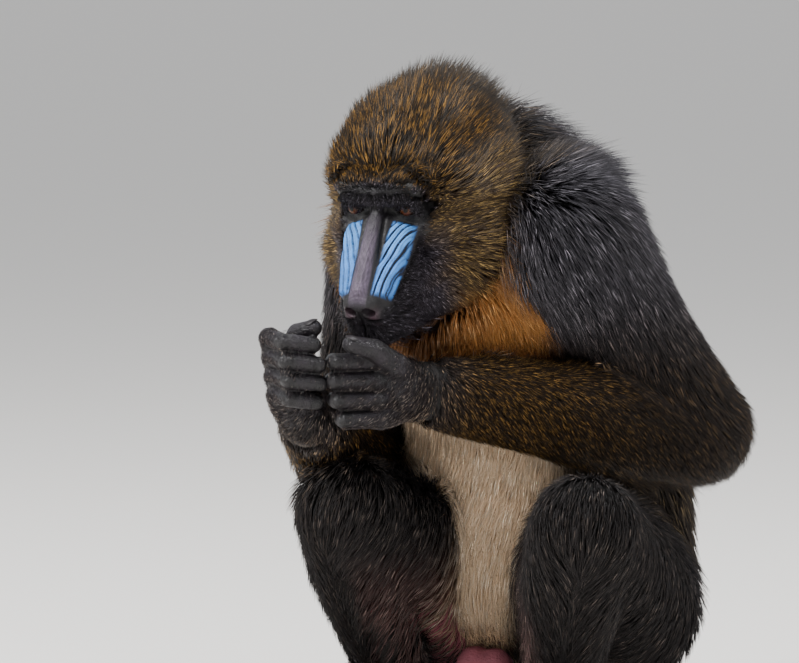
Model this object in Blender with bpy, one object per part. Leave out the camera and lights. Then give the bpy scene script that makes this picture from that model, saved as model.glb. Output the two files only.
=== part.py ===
"""A male mandrill sitting on the floor, life size: knees up, both hands raised to its mouth.

The animal faces -Y and its left side is +X. The origin is on the floor, under the middle of its rump.
Every mass of the body is a ball or a tapered capsule of flesh with a coat over it. A node's masses are
fused, smoothed and thinned, and then cut clear of the nodes that it meets. Where the coat is long, the
masses make a core half way through it, and flat tapered locks grow from the core to the coat's full depth.
"""
import math
import random

import bmesh
import bpy
from mathutils import Matrix, Vector
from mathutils.bvhtree import BVHTree

CM = 0.01
GAP = 0.0003

# The cores of the long coat reach this share of the way from the flesh to the locks' tips
CORE_SHARE = 0.45
FULL_COAT = 1.0

# The exact solver left slivers of overlap at the ears and the jaw. Every mesh cut here is closed.
CUT_SOLVER = "MANIFOLD"


def place(x, y, z):
    """A point given in centimetres."""
    return Vector((x, y, z)) * CM


# Joints of the skeleton, in centimetres
HIP = {"left": place(7.5, -0.5, 11.5), "right": place(-7.5, -0.5, 11.5)}
KNEE = {"left": place(16.5, -20.0, 20.5), "right": place(-7.6, -19.8, 20.6)}
ANKLE = {"left": place(8.5, -11.0, 5.2), "right": place(-9.5, -10.0, 5.2)}
TOE = {"left": place(16.0, -27.0, 1.0), "right": place(-12.0, -27.0, 1.0)}
SHOULDER = {"left": place(9.3, -9.0, 43.8), "right": place(-10.5, -7.5, 42.0)}
ELBOW = {"left": place(17.0, -0.6, 27.5), "right": place(-16.0, -4.5, 23.0)}
WRIST = {"left": place(1.0, -22.3, 32.0), "right": place(-7.9, -25.9, 29.6)}

# The head turns a little to its left and nods down
HEAD_CENTRE = place(-2.2, -16.4, 47.7)
HEAD_TURN = math.radians(3)
HEAD_NOD = math.radians(18)
HEAD_FRAME = Matrix.Rotation(HEAD_TURN, 3, "Z") @ Matrix.Rotation(HEAD_NOD, 3, "X")


def on_head(side, forward, up):
    """A point of the head in centimetres from its centre: to its left, towards the nose, and up."""
    return HEAD_CENTRE + HEAD_FRAME @ place(side, -forward, up)


class Mass:
    """A ball at a, or a capsule from a to b, with a flesh radius at each end and a coat, in centimetres."""

    def __init__(
        self, a, b=None, radius=1.0, end_radius=None, coat=0.0, end_coat=None, shape=(1, 1, 1), turn=None
    ):
        self.a = a
        self.b = a if b is None else b
        self.radius = radius * CM
        self.end_radius = self.radius if end_radius is None else end_radius * CM
        self.coat = coat * CM
        self.end_coat = self.coat if end_coat is None else end_coat * CM
        self.shape = Vector(shape)
        self.turn = Matrix.Identity(3) if turn is None else turn

    def add_to(self, mesh, fill):
        """Adds this mass to a bmesh, with a share of its coat's depth."""
        ball = bmesh.ops.create_icosphere(mesh, subdivisions=3, radius=1.0)
        axis = (self.b - self.a).normalized()
        for vertex in ball["verts"]:
            way = vertex.co.normalized()
            at_end = way.dot(axis) > 0
            flesh = self.end_radius if at_end else self.radius
            coat = self.end_coat if at_end else self.coat
            local = self.turn.inverted() @ way
            shaped = Vector(s * c for s, c in zip(self.shape, local))
            start = self.b if at_end else self.a
            vertex.co = start + self.turn @ shaped * flesh + way * coat * fill

    def coat_near(self, point):
        """How far a point is from this mass's flesh, and the coat's depth there."""
        along = self.b - self.a
        share = 0.0
        if along.length > 0:
            share = min(1.0, max(0.0, (point - self.a).dot(along) / along.length_squared))
        flesh = self.radius + (self.end_radius - self.radius) * share
        coat = self.coat + (self.end_coat - self.coat) * share
        return abs((point - self.a - along * share).length - flesh), coat


def coat_at(point, masses):
    """The coat's depth at a point of the body's surface."""
    return min(mass.coat_near(point) for mass in masses)[1]


def finish_mesh(obj):
    """Replaces the object's mesh by what its modifiers make of it."""
    graph = bpy.context.evaluated_depsgraph_get()
    made = bpy.data.meshes.new_from_object(obj.evaluated_get(graph))
    obj.modifiers.clear()
    obj.data = made
    return obj


def new_object(name, mesh):
    data = bpy.data.meshes.new(name)
    mesh.to_mesh(data)
    mesh.free()
    obj = bpy.data.objects.new(name, data)
    bpy.context.scene.collection.objects.link(obj)
    return obj


def fuse(name, masses, fill, voxel, smooth_steps, triangles):
    """Fuses masses into one smooth closed body with about this many triangles."""
    mesh = bmesh.new()
    for mass in masses:
        mass.add_to(mesh, fill)
    obj = new_object(name, mesh)
    remesh = obj.modifiers.new("Fuse", "REMESH")
    remesh.mode = "VOXEL"
    remesh.voxel_size = voxel
    smooth = obj.modifiers.new("Blend", "SMOOTH")
    smooth.factor = 0.5
    smooth.iterations = smooth_steps
    finish_mesh(obj)
    return thin(obj, triangles)


def thin(obj, triangles):
    """Collapses the mesh to about this many triangles."""
    obj.data.calc_loop_triangles()
    decimate = obj.modifiers.new("Thin", "DECIMATE")
    decimate.ratio = min(1.0, triangles / len(obj.data.loop_triangles))
    decimate.use_collapse_triangulate = True
    return finish_mesh(obj)


def keep_largest(obj):
    """Keeps only the closed surface with the largest box."""
    mesh = bmesh.new()
    mesh.from_mesh(obj.data)
    left = set(mesh.verts)
    islands = []
    while left:
        seed = left.pop()
        island = {seed}
        edge_of_island = [seed]
        while edge_of_island:
            vertex = edge_of_island.pop()
            for edge in vertex.link_edges:
                other = edge.other_vert(vertex)
                if other not in island:
                    island.add(other)
                    edge_of_island.append(other)
        left -= island
        islands.append(island)

    def spread(island):
        return sum(max(v.co[i] for v in island) - min(v.co[i] for v in island) for i in range(3))

    islands.sort(key=spread)
    scraps = [vertex for island in islands[:-1] for vertex in island]
    bmesh.ops.delete(mesh, geom=scraps, context="VERTS")
    mesh.to_mesh(obj.data)
    mesh.free()
    return obj


def halve(obj, point, normal, keep_front):
    """Cuts the object by a plane and closes the cut. The half kept stays half a gap short of the plane."""
    mesh = bmesh.new()
    mesh.from_mesh(obj.data)
    side = 1 if keep_front else -1
    bmesh.ops.bisect_plane(
        mesh,
        geom=mesh.verts[:] + mesh.edges[:] + mesh.faces[:],
        dist=1e-7,
        plane_co=point + normal.normalized() * side * GAP / 2,
        plane_no=normal,
        clear_outer=not keep_front,
        clear_inner=keep_front,
    )
    rim = [edge for edge in mesh.edges if edge.is_boundary]
    bmesh.ops.holes_fill(mesh, edges=rim, sides=0)
    bmesh.ops.triangulate(mesh, faces=[face for face in mesh.faces if len(face.verts) > 3])
    bmesh.ops.recalc_face_normals(mesh, faces=mesh.faces[:])
    mesh.to_mesh(obj.data)
    mesh.free()
    return keep_largest(obj)


def part_at(obj, point, normal, name):
    """Parts the object at a plane. What lies in front of it becomes a new object with this name."""
    front = new_copy(obj, name)
    halve(front, point, normal, True)
    halve(obj, point, normal, False)
    return front


def stand_on_floor(obj):
    """Cuts flat what would reach below the floor."""
    mesh = bmesh.new()
    mesh.from_mesh(obj.data)
    bmesh.ops.bisect_plane(
        mesh,
        geom=mesh.verts[:] + mesh.edges[:] + mesh.faces[:],
        dist=1e-7,
        plane_co=(0, 0, 0),
        plane_no=(0, 0, 1),
        clear_inner=True,
    )
    rim = [edge for edge in mesh.edges if edge.is_boundary]
    bmesh.ops.holes_fill(mesh, edges=rim, sides=0)
    bmesh.ops.triangulate(mesh, faces=[face for face in mesh.faces if len(face.verts) > 3])
    mesh.to_mesh(obj.data)
    mesh.free()
    return obj


def new_copy(obj, name):
    copy = bpy.data.objects.new(name, obj.data.copy())
    bpy.context.scene.collection.objects.link(copy)
    return copy


def overlay(obj, other, operation):
    """Combines the object with another one, which is used up."""
    cut = obj.modifiers.new("Overlay", "BOOLEAN")
    cut.operation = operation
    cut.solver = CUT_SOLVER
    cut.object = other
    finish_mesh(obj)
    bpy.data.objects.remove(other)
    return obj


def hollow_out(obj, cutter):
    """Takes the cutter out of the object."""
    return overlay(obj, cutter, "DIFFERENCE")


def cut_clear(obj, *neighbours):
    """Cuts the object back from its neighbours, and leaves a thin gap to them."""
    for neighbour in neighbours:
        cutter = new_copy(neighbour, "cutter")
        swell = cutter.modifiers.new("Gap", "DISPLACE")
        swell.strength = GAP * 1.3
        swell.mid_level = 0.0
        hollow_out(obj, finish_mesh(cutter))
    return keep_largest(obj)


def clear_scene():
    for obj in list(bpy.data.objects):
        bpy.data.objects.remove(obj)


def coat_material(name, colour, roughness=0.85):
    material = bpy.data.materials.new(name)
    material.use_nodes = True
    shader = material.node_tree.nodes["Principled BSDF"]
    shader.inputs["Base Color"].default_value = (*colour, 1.0)
    shader.inputs["Roughness"].default_value = roughness
    shader.inputs["Metallic"].default_value = 0.0
    return material


# Locks of the long coat
LOCK_ROOT_DEPTH = 0.6 * CM
LOCK_STEPS = 2
LOCK_WIDTHS = (0.6, 1.0)
LOCK_RISES = (0.0, 0.6, 1.0)
LOCK_CLEARANCE = 0.12 * CM
LOCK_REACH = 10 * CM
ROOT_CLEARANCE = 0.3 * CM

# A lock that would meet another node is tried again at these shares of its length
LOCK_SHORTENINGS = (1.0, 0.8, 0.6, 0.45, 0.35)


class Coat:
    """How the locks of one node grow: how far apart, how long and wide, where, and which way they lie."""

    def __init__(self, spacing, length, width, lie, grows=lambda point: True, bend=0.25):
        self.spacing = spacing * CM
        self.length = length * CM
        self.width = width * CM
        self.lie = lie
        self.grows = grows
        self.bend = bend


def sow(obj, coat, chance):
    """Scatters roots evenly over the object's surface. Each is a point and a normal."""
    obj.data.calc_loop_triangles()
    corners = [vertex.co for vertex in obj.data.vertices]
    triangles = [tuple(corners[i] for i in face.vertices) for face in obj.data.loop_triangles]
    weights = [(b - a).cross(c - a).length for a, b, c in triangles]
    tries = int(14 * sum(weights) / coat.spacing ** 2)
    roots = []
    for a, b, c in chance.choices(triangles, weights, k=tries):
        u, v = chance.random(), chance.random()
        if u + v > 1:
            u, v = 1 - u, 1 - v
        point = a + (b - a) * u + (c - a) * v
        if not coat.grows(point):
            continue
        if all((point - other).length > coat.spacing for other, normal in roots):
            roots.append((point, (b - a).cross(c - a).normalized()))
    return roots


def grow_lock(tree, point, lie, length, width, depth, turn):
    """A flat, tapered lock of three sides that follows the surface and lifts towards its tip."""
    thickness = min(0.28 * width, 0.7 * depth + 0.25 * CM)
    spot, normal = tree.find_nearest(point)[:2]
    way = lie(spot).normalized()
    mesh = bmesh.new()
    ring = None
    for step in range(LOCK_STEPS + 1):
        way = (way - normal * way.dot(normal)).normalized()
        way = Matrix.Rotation(turn, 3, normal) @ way
        across = normal.cross(way)
        rise = depth * LOCK_RISES[step] - (LOCK_ROOT_DEPTH if step == 0 else 0.0)
        middle = spot + normal * rise
        if step == LOCK_STEPS:
            tip = mesh.verts.new(middle)
            for i in range(3):
                mesh.faces.new((ring[i], ring[(i + 1) % 3], tip))
            break
        half = 0.5 * width * LOCK_WIDTHS[step]
        corners = (middle - across * half, middle + across * half, middle + normal * thickness)
        new_ring = [mesh.verts.new(corner) for corner in corners]
        if ring is None:
            mesh.faces.new(new_ring[::-1])
        else:
            for i in range(3):
                j = (i + 1) % 3
                mesh.faces.new((ring[i], ring[j], new_ring[j], new_ring[i]))
        ring = new_ring
        wanted = lie(spot).normalized()
        way = (way * 0.6 + wanted * 0.4).normalized()
        spot, normal = tree.find_nearest(spot + way * length / LOCK_STEPS)[:2]
    bmesh.ops.recalc_face_normals(mesh, faces=mesh.faces[:])
    bmesh.ops.triangulate(mesh, faces=[face for face in mesh.faces if len(face.verts) > 3])
    return mesh


def push_clear(mesh, trees):
    """Moves the lock's corners out of the nodes that stand in its way."""
    for vertex in mesh.verts:
        for tree in trees:
            spot, normal, index, distance = tree.find_nearest(vertex.co, 0.05)
            if spot is None:
                continue
            height = (vertex.co - spot).dot(normal)
            if height < LOCK_CLEARANCE and distance < 0.03:
                vertex.co += normal * (LOCK_CLEARANCE - height)


def crosses(mesh, trees):
    """Whether the lock still meets another node."""
    own = BVHTree.FromBMesh(mesh)
    if any(own.overlap(tree) for tree in trees):
        return True
    return any(vertex.co.z < GAP for vertex in mesh.verts)


def near(obj, other):
    """Whether the two objects' boxes come within reach of the locks."""
    mine = [obj.matrix_world @ Vector(corner) for corner in obj.bound_box]
    theirs = [other.matrix_world @ Vector(corner) for corner in other.bound_box]
    for i in range(3):
        if min(c[i] for c in mine) > max(c[i] for c in theirs) + LOCK_REACH:
            return False
        if min(c[i] for c in theirs) > max(c[i] for c in mine) + LOCK_REACH:
            return False
    return True


def add_locks(obj, coat, masses, seed, beside=()):
    """Grows the locks of one node and fuses them with it."""
    chance = random.Random(seed)
    tree = BVHTree.FromObject(obj, bpy.context.evaluated_depsgraph_get())
    walls = [BVHTree.FromObject(other, bpy.context.evaluated_depsgraph_get()) for other in beside]
    tuft = bpy.data.collections.new("locks_" + obj.name)
    bpy.context.scene.collection.children.link(tuft)
    for point, normal in sow(obj, coat, chance):
        if any(wall.find_nearest(point, ROOT_CLEARANCE)[0] is not None for wall in walls):
            continue
        depth = coat_at(point, masses) * (1 - CORE_SHARE)
        length = coat.length * chance.uniform(0.8, 1.15)
        width = coat.width * chance.uniform(0.85, 1.15)
        turn = chance.uniform(-coat.bend, coat.bend)
        for shortening in LOCK_SHORTENINGS:
            narrowed = width * shortening ** 0.5
            mesh = grow_lock(tree, point, coat.lie, length * shortening, narrowed, depth, turn)
            push_clear(mesh, walls)
            if not crosses(mesh, walls):
                break
            mesh.free()
        else:
            continue
        data = bpy.data.meshes.new("lock")
        mesh.to_mesh(data)
        mesh.free()
        tuft.objects.link(bpy.data.objects.new("lock", data))
    union = obj.modifiers.new("Locks", "BOOLEAN")
    union.operation = "UNION"
    union.operand_type = "COLLECTION"
    union.collection = tuft
    union.solver = CUT_SOLVER
    finish_mesh(obj)
    for lock in list(tuft.objects):
        bpy.data.objects.remove(lock)
    bpy.data.collections.remove(tuft)
    keep_largest(obj)


SIDES = ("left", "right")


def outward(side):
    """+1 on the animal's left, -1 on its right."""
    return 1 if side == "left" else -1


# Trunk: pelvis, belly, ribs, withers, shoulder blades and neck
def trunk_masses():
    masses = [
        Mass(place(-4.0, 3.0, 9.5), place(4.0, 3.0, 9.5), 7.6, coat=2.0),
        Mass(place(0, -0.5, 15.5), radius=9.8, coat=1.8, shape=(1.12, 1, 1)),
        Mass(place(0, 1.2, 22.5), radius=9.8, coat=2.0, shape=(1.1, 1, 1)),
        Mass(place(-0.5, 0.8, 30), radius=10.0, coat=2.4, shape=(1.08, 1, 1)),
        Mass(place(-1.0, -2.5, 38.0), radius=10.0, coat=3.0, shape=(1.05, 1, 1)),
        Mass(place(-1.2, -4.5, 44.5), radius=7.0, coat=4.3),
        Mass(place(-1.2, -9.5, 37.0), radius=7.5, coat=2.2),
        Mass(place(-1.4, -6.5, 44.5), place(-2.0, -13.5, 46.0), 6.8, 5.8, coat=3.6),
        Mass(place(5.5, -3.0, 42.5), SHOULDER["left"] + place(-1, 0, 0), 5.0, coat=2.8),
        Mass(place(-8.0, -3.0, 42.0), SHOULDER["right"] + place(1, 0, 0), 5.0, 4.6, coat=2.6, end_coat=2.4),
        Mass(place(-3.6, 1.2, 4.6), place(3.6, 1.2, 4.6), 4.9, coat=0.4),
    ]
    for side in SIDES:
        way = outward(side)
        masses.append(Mass(place(7.0 * way, 3.0, 14.0), place(6.6 * way, 3.0, 21.0), 5.5, coat=2.3))
    return masses


def scrotum_masses():
    return [Mass(place(way * 1.1, -8.8 - way * 0.2, 5.6), radius=1.9, shape=(1, 1, 1.15)) for way in (-1, 1)]


def neck_block(margin):
    """A tilted block round the neck. Its back face parts the neck from the chest."""
    turn = Matrix.Rotation(math.radians(-18), 4, "X")
    middle = place(-1.7, -10.0, 47.0)
    size = Matrix.Diagonal((0.164 + 2 * margin, 0.20, 0.20 + 2 * margin, 1))
    shift = Matrix.Translation((0, -0.10 + margin, 0))
    mesh = bmesh.new()
    bmesh.ops.create_cube(mesh, size=1.0, matrix=Matrix.Translation(middle) @ turn @ shift @ size)
    return new_object("neck_block", mesh)


def tail_masses():
    return [Mass(place(0, 10.0, 9.5), place(0.3, 14.5, 13.8), 1.5, 1.0, coat=0.9, end_coat=0.9)]


# Arms
def arm_masses(side):
    shoulder = SHOULDER[side]
    elbow = ELBOW[side]
    wrist = WRIST[side]
    belly_of_forearm = elbow.lerp(wrist, 0.45) + place(0, 0, -0.3)
    return [
        Mass(shoulder, shoulder.lerp(elbow, 0.5), 5.0, 4.2, coat=1.6, end_coat=1.4),
        Mass(shoulder.lerp(elbow, 0.5), elbow, 4.2, 3.7, coat=1.4, end_coat=1.9),
        Mass(elbow, belly_of_forearm, 3.8, 3.7, coat=1.9, end_coat=1.3),
        Mass(belly_of_forearm, wrist, 3.5, 2.5, coat=1.3, end_coat=1.0),
    ]


# Hands: each finger is three capsules that follow the curl of the fist
HAND = {
    "left": {
        "knuckles": place(-0.3, -26.4, 32.2),
        "row": Vector((0.05, 0.05, -1.0)),
        "phalanges": ((-0.64, -0.77, 0.0), (-0.6, 0.8, -0.05), (0.6, 0.8, 0.0)),
        "thumb": (place(0.8, -25.5, 34.3), place(0.0, -27.7, 35.8), place(-1.2, -29.5, 36.3)),
    },
    "right": {
        "knuckles": place(-9.1, -29.5, 34.0),
        "row": Vector((0.1, 0.1, -1.0)),
        "phalanges": ((0.77, -0.64, 0.0), (0.72, 0.65, -0.12), (-0.56, 0.77, 0.0)),
        "thumb": (place(-8.4, -27.8, 35.4), place(-7.2, -28.6, 36.9), place(-5.4, -28.9, 37.5)),
    },
}
FINGER_PITCH = 1.68
PHALANX_LENGTHS = (4.0, 2.9, 1.9)
FINGER_RADII = (0.86, 0.8, 0.74, 0.62)
FINGER_SCALE = (0.94, 1.0, 0.97, 0.84)


def finger_joints(side, finger):
    """The four joints of a finger, knuckle to tip. Finger 0 is the forefinger."""
    hand = HAND[side]
    joint = hand["knuckles"] + hand["row"].normalized() * (finger - 1.5) * FINGER_PITCH * CM
    joints = [joint]
    for way, length in zip(hand["phalanges"], PHALANX_LENGTHS):
        joint = joint + Vector(way).normalized() * length * FINGER_SCALE[finger] * CM
        joints.append(joint)
    return joints


def hand_masses(side):
    wrist = WRIST[side]
    masses = [Mass(wrist, wrist.lerp(HAND[side]["knuckles"], 0.4), 2.4, 2.3, coat=0.7, end_coat=0.5)]
    for finger in range(4):
        joints = finger_joints(side, finger)
        masses.append(Mass(wrist.lerp(joints[0], 0.25), joints[0], 1.5, 1.0, coat=0.5, end_coat=0.2))
        for start, end, radius, end_radius in zip(joints, joints[1:], FINGER_RADII, FINGER_RADII[1:]):
            masses.append(Mass(start, end, radius, end_radius))
    root, middle, tip = HAND[side]["thumb"]
    masses.append(Mass(wrist.lerp(root, 0.3), root, 1.6, 1.15))
    masses.append(Mass(root, middle, 1.1, 0.95))
    masses.append(Mass(middle, tip, 0.95, 0.75))
    return masses


# Legs and feet
def thigh_masses(side):
    hip = HIP[side]
    knee = KNEE[side]
    return [
        Mass(hip, hip.lerp(knee, 0.55), 7.6, 5.4, coat=1.9, end_coat=1.3),
        Mass(hip.lerp(knee, 0.55), knee, 5.4, 4.0, coat=1.3, end_coat=1.0),
    ]


def shank_masses(side):
    knee = KNEE[side]
    ankle = ANKLE[side]
    calf = knee.lerp(ankle, 0.35)
    return [
        Mass(knee, calf, 4.1, 3.8, coat=1.1, end_coat=1.4),
        Mass(calf, ankle, 3.8, 2.3, coat=1.4, end_coat=0.7),
    ]


SOLE_WAY = Vector((0, -0.35, -0.94))
TOE_PITCH = 1.75
TOE_LENGTHS = (4.0, 4.6, 4.5, 4.0)


def foot_masses(side):
    ankle = ANKLE[side]
    toe = TOE[side]
    way = (toe - ankle).normalized()
    way.z = 0
    way.normalize()
    across = Vector((0, 0, 1)).cross(way) * outward(side)
    heel = Vector((ankle.x, ankle.y, 0)) - way * 3.0 * CM + place(0, 0, 2.1)
    ball = Vector((toe.x, toe.y, 0)) - way * 4.2 * CM + place(0, 0, 1.5)
    masses = [
        Mass(ankle, heel, 2.3, 2.2, coat=0.7, end_coat=0.1),
        Mass(heel, heel.lerp(ball, 0.45), 2.2, 1.9, coat=0.1, end_coat=0.2),
    ]
    for index, length in enumerate(TOE_LENGTHS):
        knuckle = ball + across * (index - 1.5) * TOE_PITCH * CM - way * 0.35 * index * CM
        middle = knuckle + way * length * 0.55 * CM + place(0, 0, -0.1)
        tip = knuckle + way * length * CM + place(0, 0, -0.65)
        masses.append(Mass(ankle.lerp(ball, 0.35), knuckle, 1.9, 1.2, coat=0.3, end_coat=0.1))
        masses.append(Mass(knuckle, middle, 1.05, 0.95))
        masses.append(Mass(middle, tip, 0.95, 0.75))
    big_root = heel.lerp(ball, 0.35) - across * 2.2 * CM
    big_middle = big_root + way * 3.6 * CM - across * 1.9 * CM + place(0, 0, -0.5)
    big_tip = big_middle + way * 3.0 * CM - across * 0.6 * CM + place(0, 0, -0.35)
    masses.append(Mass(big_root, big_middle, 1.6, 1.25))
    masses.append(Mass(big_middle, big_tip, 1.25, 0.95))
    return masses


# Head
def cranium_masses():
    turn = HEAD_FRAME
    masses = [
        Mass(on_head(0, -0.5, 2.0), radius=5.4, coat=1.6, shape=(0.98, 1.1, 0.98), turn=turn),
        Mass(on_head(0, 0.3, 4.5), on_head(0, -6.0, 4.3), 3.0, 2.6, coat=4.2, end_coat=4.8),
        Mass(on_head(0, 3.2, 4.6), radius=2.5, coat=2.6, shape=(1.3, 1, 1), turn=turn),
        Mass(on_head(0, 3.6, 1.5), radius=3.7, coat=0.3, shape=(1.1, 1, 1), turn=turn),
    ]
    for side in SIDES:
        way = outward(side)
        brow = (on_head(0, 7.0, 3.7), on_head(3.4 * way, 6.3, 4.1))
        cheekbone = (on_head(4.1 * way, 2.3, -0.6), on_head(3.9 * way, 5.6, 0.0))
        cheek = (on_head(3.6 * way, 0.5, -3.0), on_head(3.2 * way, -3.0, 0.5))
        temple = (on_head(3.0 * way, 1.5, 3.4), on_head(3.0 * way, -3.0, 3.9))
        masses += [
            Mass(*brow, 1.05, 1.05, coat=0.35, end_coat=0.3),
            Mass(*cheekbone, 2.3, 1.5, coat=1.4, end_coat=0.2),
            Mass(*cheek, 3.2, 3.4, coat=2.4, end_coat=2.8),
            Mass(*temple, 3.0, 3.0, coat=1.9, end_coat=3.0),
            Mass(eye_centre(side), radius=EYE_RADIUS + LID_DEPTH),
        ]
    return masses


def muzzle_masses():
    turn = HEAD_FRAME
    masses = [
        Mass(on_head(0, 6.3, -0.6), on_head(0, 11.2, -4.5), 2.9, 2.1, shape=(0.98, 1, 1.05), turn=turn),
        Mass(on_head(0, 6.9, 2.4), on_head(0, 12.5, -3.3), 0.9, 0.9),
        Mass(on_head(-0.8, 12.6, -4.4), on_head(0.8, 12.6, -4.4), 1.0),
    ]
    for side in SIDES:
        way = outward(side)
        masses.append(Mass(on_head(2.35 * way, 7.4, -0.4), on_head(1.6 * way, 11.4, -3.9), 1.3, 0.95))
        masses.append(Mass(on_head(2.6 * way, 8.0, -4.3), on_head(1.3 * way, 12.0, -5.6), 1.3, 1.0))
    return masses


def jaw_masses():
    masses = [
        Mass(on_head(0, 5.5, -6.0), on_head(0, 10.6, -7.4), 2.3, 1.5, coat=0.6, end_coat=0.3),
        Mass(on_head(-1.0, 11.3, -7.3), on_head(1.0, 11.3, -7.3), 1.05),
        Mass(on_head(0, 0.5, -6.8), on_head(0, 6.5, -7.2), 2.6, 1.8, coat=2.6, end_coat=1.0),
    ]
    for side in SIDES:
        way = outward(side)
        branch = (on_head(3.2 * way, 3.0, -4.9), on_head(1.6 * way, 9.8, -6.9))
        masses.append(Mass(*branch, 2.0, 1.4, coat=1.4, end_coat=0.2))
    return masses


EYE_RADIUS = 1.12
LID_DEPTH = 0.24


def eye_centre(side):
    return on_head(2.5 * outward(side), 6.2, 2.3)


def rounded_cutter(centre, sizes, turn, fineness=2):
    """A closed ellipsoid to cut with."""
    mesh = bmesh.new()
    ball = bmesh.ops.create_icosphere(mesh, subdivisions=fineness, radius=1.0)
    for vertex in ball["verts"]:
        vertex.co = centre + turn @ Vector(s * c * CM for s, c in zip(sizes, vertex.co))
    return new_object("hollow", mesh)


EAR_SIDE = 7.2


def ear_dish(side):
    """The hollow in the coat that an ear stands in."""
    centre = on_head((EAR_SIDE + 2.0) * outward(side), -1.2, 1.6)
    return rounded_cutter(centre, (2.5, 2.5, 3.1), HEAD_FRAME)


def ear(side):
    """An ear cup that lies back against the head, open to the side."""
    way = outward(side)
    swing = Matrix.Rotation(way * math.radians(-28), 3, "Z")
    turn = HEAD_FRAME @ swing @ Matrix.Rotation(math.radians(-20), 3, "X")
    centre = on_head(EAR_SIDE * way, -1.6, 1.4)
    cup = rounded_cutter(centre, (0.95, 1.5, 2.1), turn, 3)
    cup.name = "ear_" + side
    hollow_out(cup, rounded_cutter(centre + turn @ place(way * 0.75, -0.2, 0.1), (0.9, 1.15, 1.7), turn))
    return thin(cup, 170)


# The way the coat lies
def lie_of_head(point):
    """Away from the face, and back."""
    return (point - on_head(0, 8, 0.5)).normalized() + HEAD_FRAME @ Vector((0, 0.9, 0.1))


def lie_of_beard(point):
    """Away from the chin, and hanging."""
    return 0.6 * (point - on_head(0, 12, -3.5)).normalized() + Vector((0, 0.1, -1))


def lie_of_mantle(point):
    """Away from the nape, and down."""
    return (point - place(-1.8, -10, 51)).normalized() + Vector((0, 0, -0.8))


def lie_downwards(point):
    side = 0.0 if point.y > 0 else -0.25 * math.copysign(1, point.x)
    return Vector((side, 0, -1))


def lie_along(start, end, drop):
    """Along a limb, and hanging a little."""
    way = (end - start).normalized() + Vector((0, 0, -drop))
    return lambda point: way


def head_place(point):
    """A point's place on the head, in centimetres to its left, forward and up."""
    local = HEAD_FRAME.transposed() @ (point - HEAD_CENTRE) / CM
    return local.x, -local.y, local.z


def on_crown_or_cheek(point):
    side, forward, up = head_place(point)
    near_ear = math.hypot(forward + 1.2, up - 1.6) < 2.4
    return (forward < 3.0 or (up > 5.0 and forward < 5.5)) and not near_ear


def on_throat(point):
    return head_place(point)[1] < 6.0


def clear_of_floor(point):
    return point.z > 4.5 * CM


# Assembly, from the floor up
clear_scene()
trunk = fuse("pelvis", trunk_masses(), CORE_SHARE, 0.008, 6, 820)
stand_on_floor(trunk)
ABDOMEN_CUT = (place(0, 2, 14.0), Vector((0, -0.25, 1)))
CHEST_CUT = (place(0, 2, 29.0), Vector((0, -0.05, 1)))
abdomen = part_at(trunk, *ABDOMEN_CUT, "abdomen")
chest = part_at(abdomen, *CHEST_CUT, "chest")
trunk_nodes = [trunk, abdomen, chest]
neck = new_copy(chest, "neck")
overlay(neck, neck_block(0), "INTERSECT")
overlay(chest, neck_block(GAP), "DIFFERENCE")
keep_largest(neck)
keep_largest(chest)

tail = fuse("tail", tail_masses(), FULL_COAT, 0.005, 2, 120)
cut_clear(tail, trunk)

scrotum = fuse("scrotum", scrotum_masses(), FULL_COAT, 0.004, 2, 130)
cut_clear(scrotum, *trunk_nodes)

for side in SIDES:
    thigh = fuse("thigh_" + side, thigh_masses(side), CORE_SHARE, 0.008, 3, 260)
    cut_clear(thigh, *trunk_nodes)
    stand_on_floor(thigh)
    upper_arm = fuse("upper_arm_" + side, arm_masses(side), CORE_SHARE, 0.007, 3, 300)
    bend = (ELBOW[side] - SHOULDER[side]).normalized() + (WRIST[side] - ELBOW[side]).normalized()
    halve(upper_arm, ELBOW[side], bend, False)
    forearm = fuse("forearm_" + side, arm_masses(side), FULL_COAT, 0.007, 3, 420)
    halve(forearm, ELBOW[side], bend, True)
    cut_clear(upper_arm, chest, abdomen, neck)
    cut_clear(forearm, chest, abdomen)
    halve(forearm, WRIST[side], WRIST[side] - ELBOW[side], False)
    hand = fuse("hand_" + side, hand_masses(side), FULL_COAT, 0.003, 2, 540)
    halve(hand, WRIST[side], WRIST[side] - ELBOW[side], True)
    shank = fuse("shank_" + side, shank_masses(side) + foot_masses(side), FULL_COAT, 0.004, 2, 520)
    stand_on_floor(shank)
    foot = part_at(shank, ANKLE[side], SOLE_WAY, "foot_" + side)
    cut_clear(shank, thigh, forearm, trunk)
    cut_clear(foot, thigh, trunk)
    cut_clear(thigh, forearm)
cut_clear(bpy.data.objects["hand_right"], bpy.data.objects["hand_left"])

head = fuse("head", cranium_masses() + muzzle_masses(), CORE_SHARE, 0.004, 3, 1200)
for side in SIDES:
    way = outward(side)
    eye_mesh = bmesh.new()
    ball = bmesh.ops.create_uvsphere(eye_mesh, u_segments=10, v_segments=7, radius=EYE_RADIUS * CM)
    bmesh.ops.translate(eye_mesh, verts=ball["verts"], vec=eye_centre(side))
    eye = new_object("eye_" + side, eye_mesh)
    outlook = HEAD_FRAME @ Matrix.Rotation(math.radians(12) * way, 3, "Z")
    opening = eye_centre(side) + outlook @ place(0, -1.1, 0)
    hollow_out(head, rounded_cutter(opening, (1.0, 0.8, 0.5), outlook))
    cut_clear(head, eye)
    hollow_out(head, rounded_cutter(on_head(0.85 * way, 13.4, -4.9), (0.42, 0.9, 0.3), HEAD_FRAME))
    hollow_out(head, ear_dish(side))
    hollow_out(chest, ear_dish(side))
    cup = ear(side)
    cut_clear(head, cup)
    cut_clear(chest, cup)
    cut_clear(neck, cup)
cut_clear(neck, head)
cut_clear(chest, head)
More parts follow.
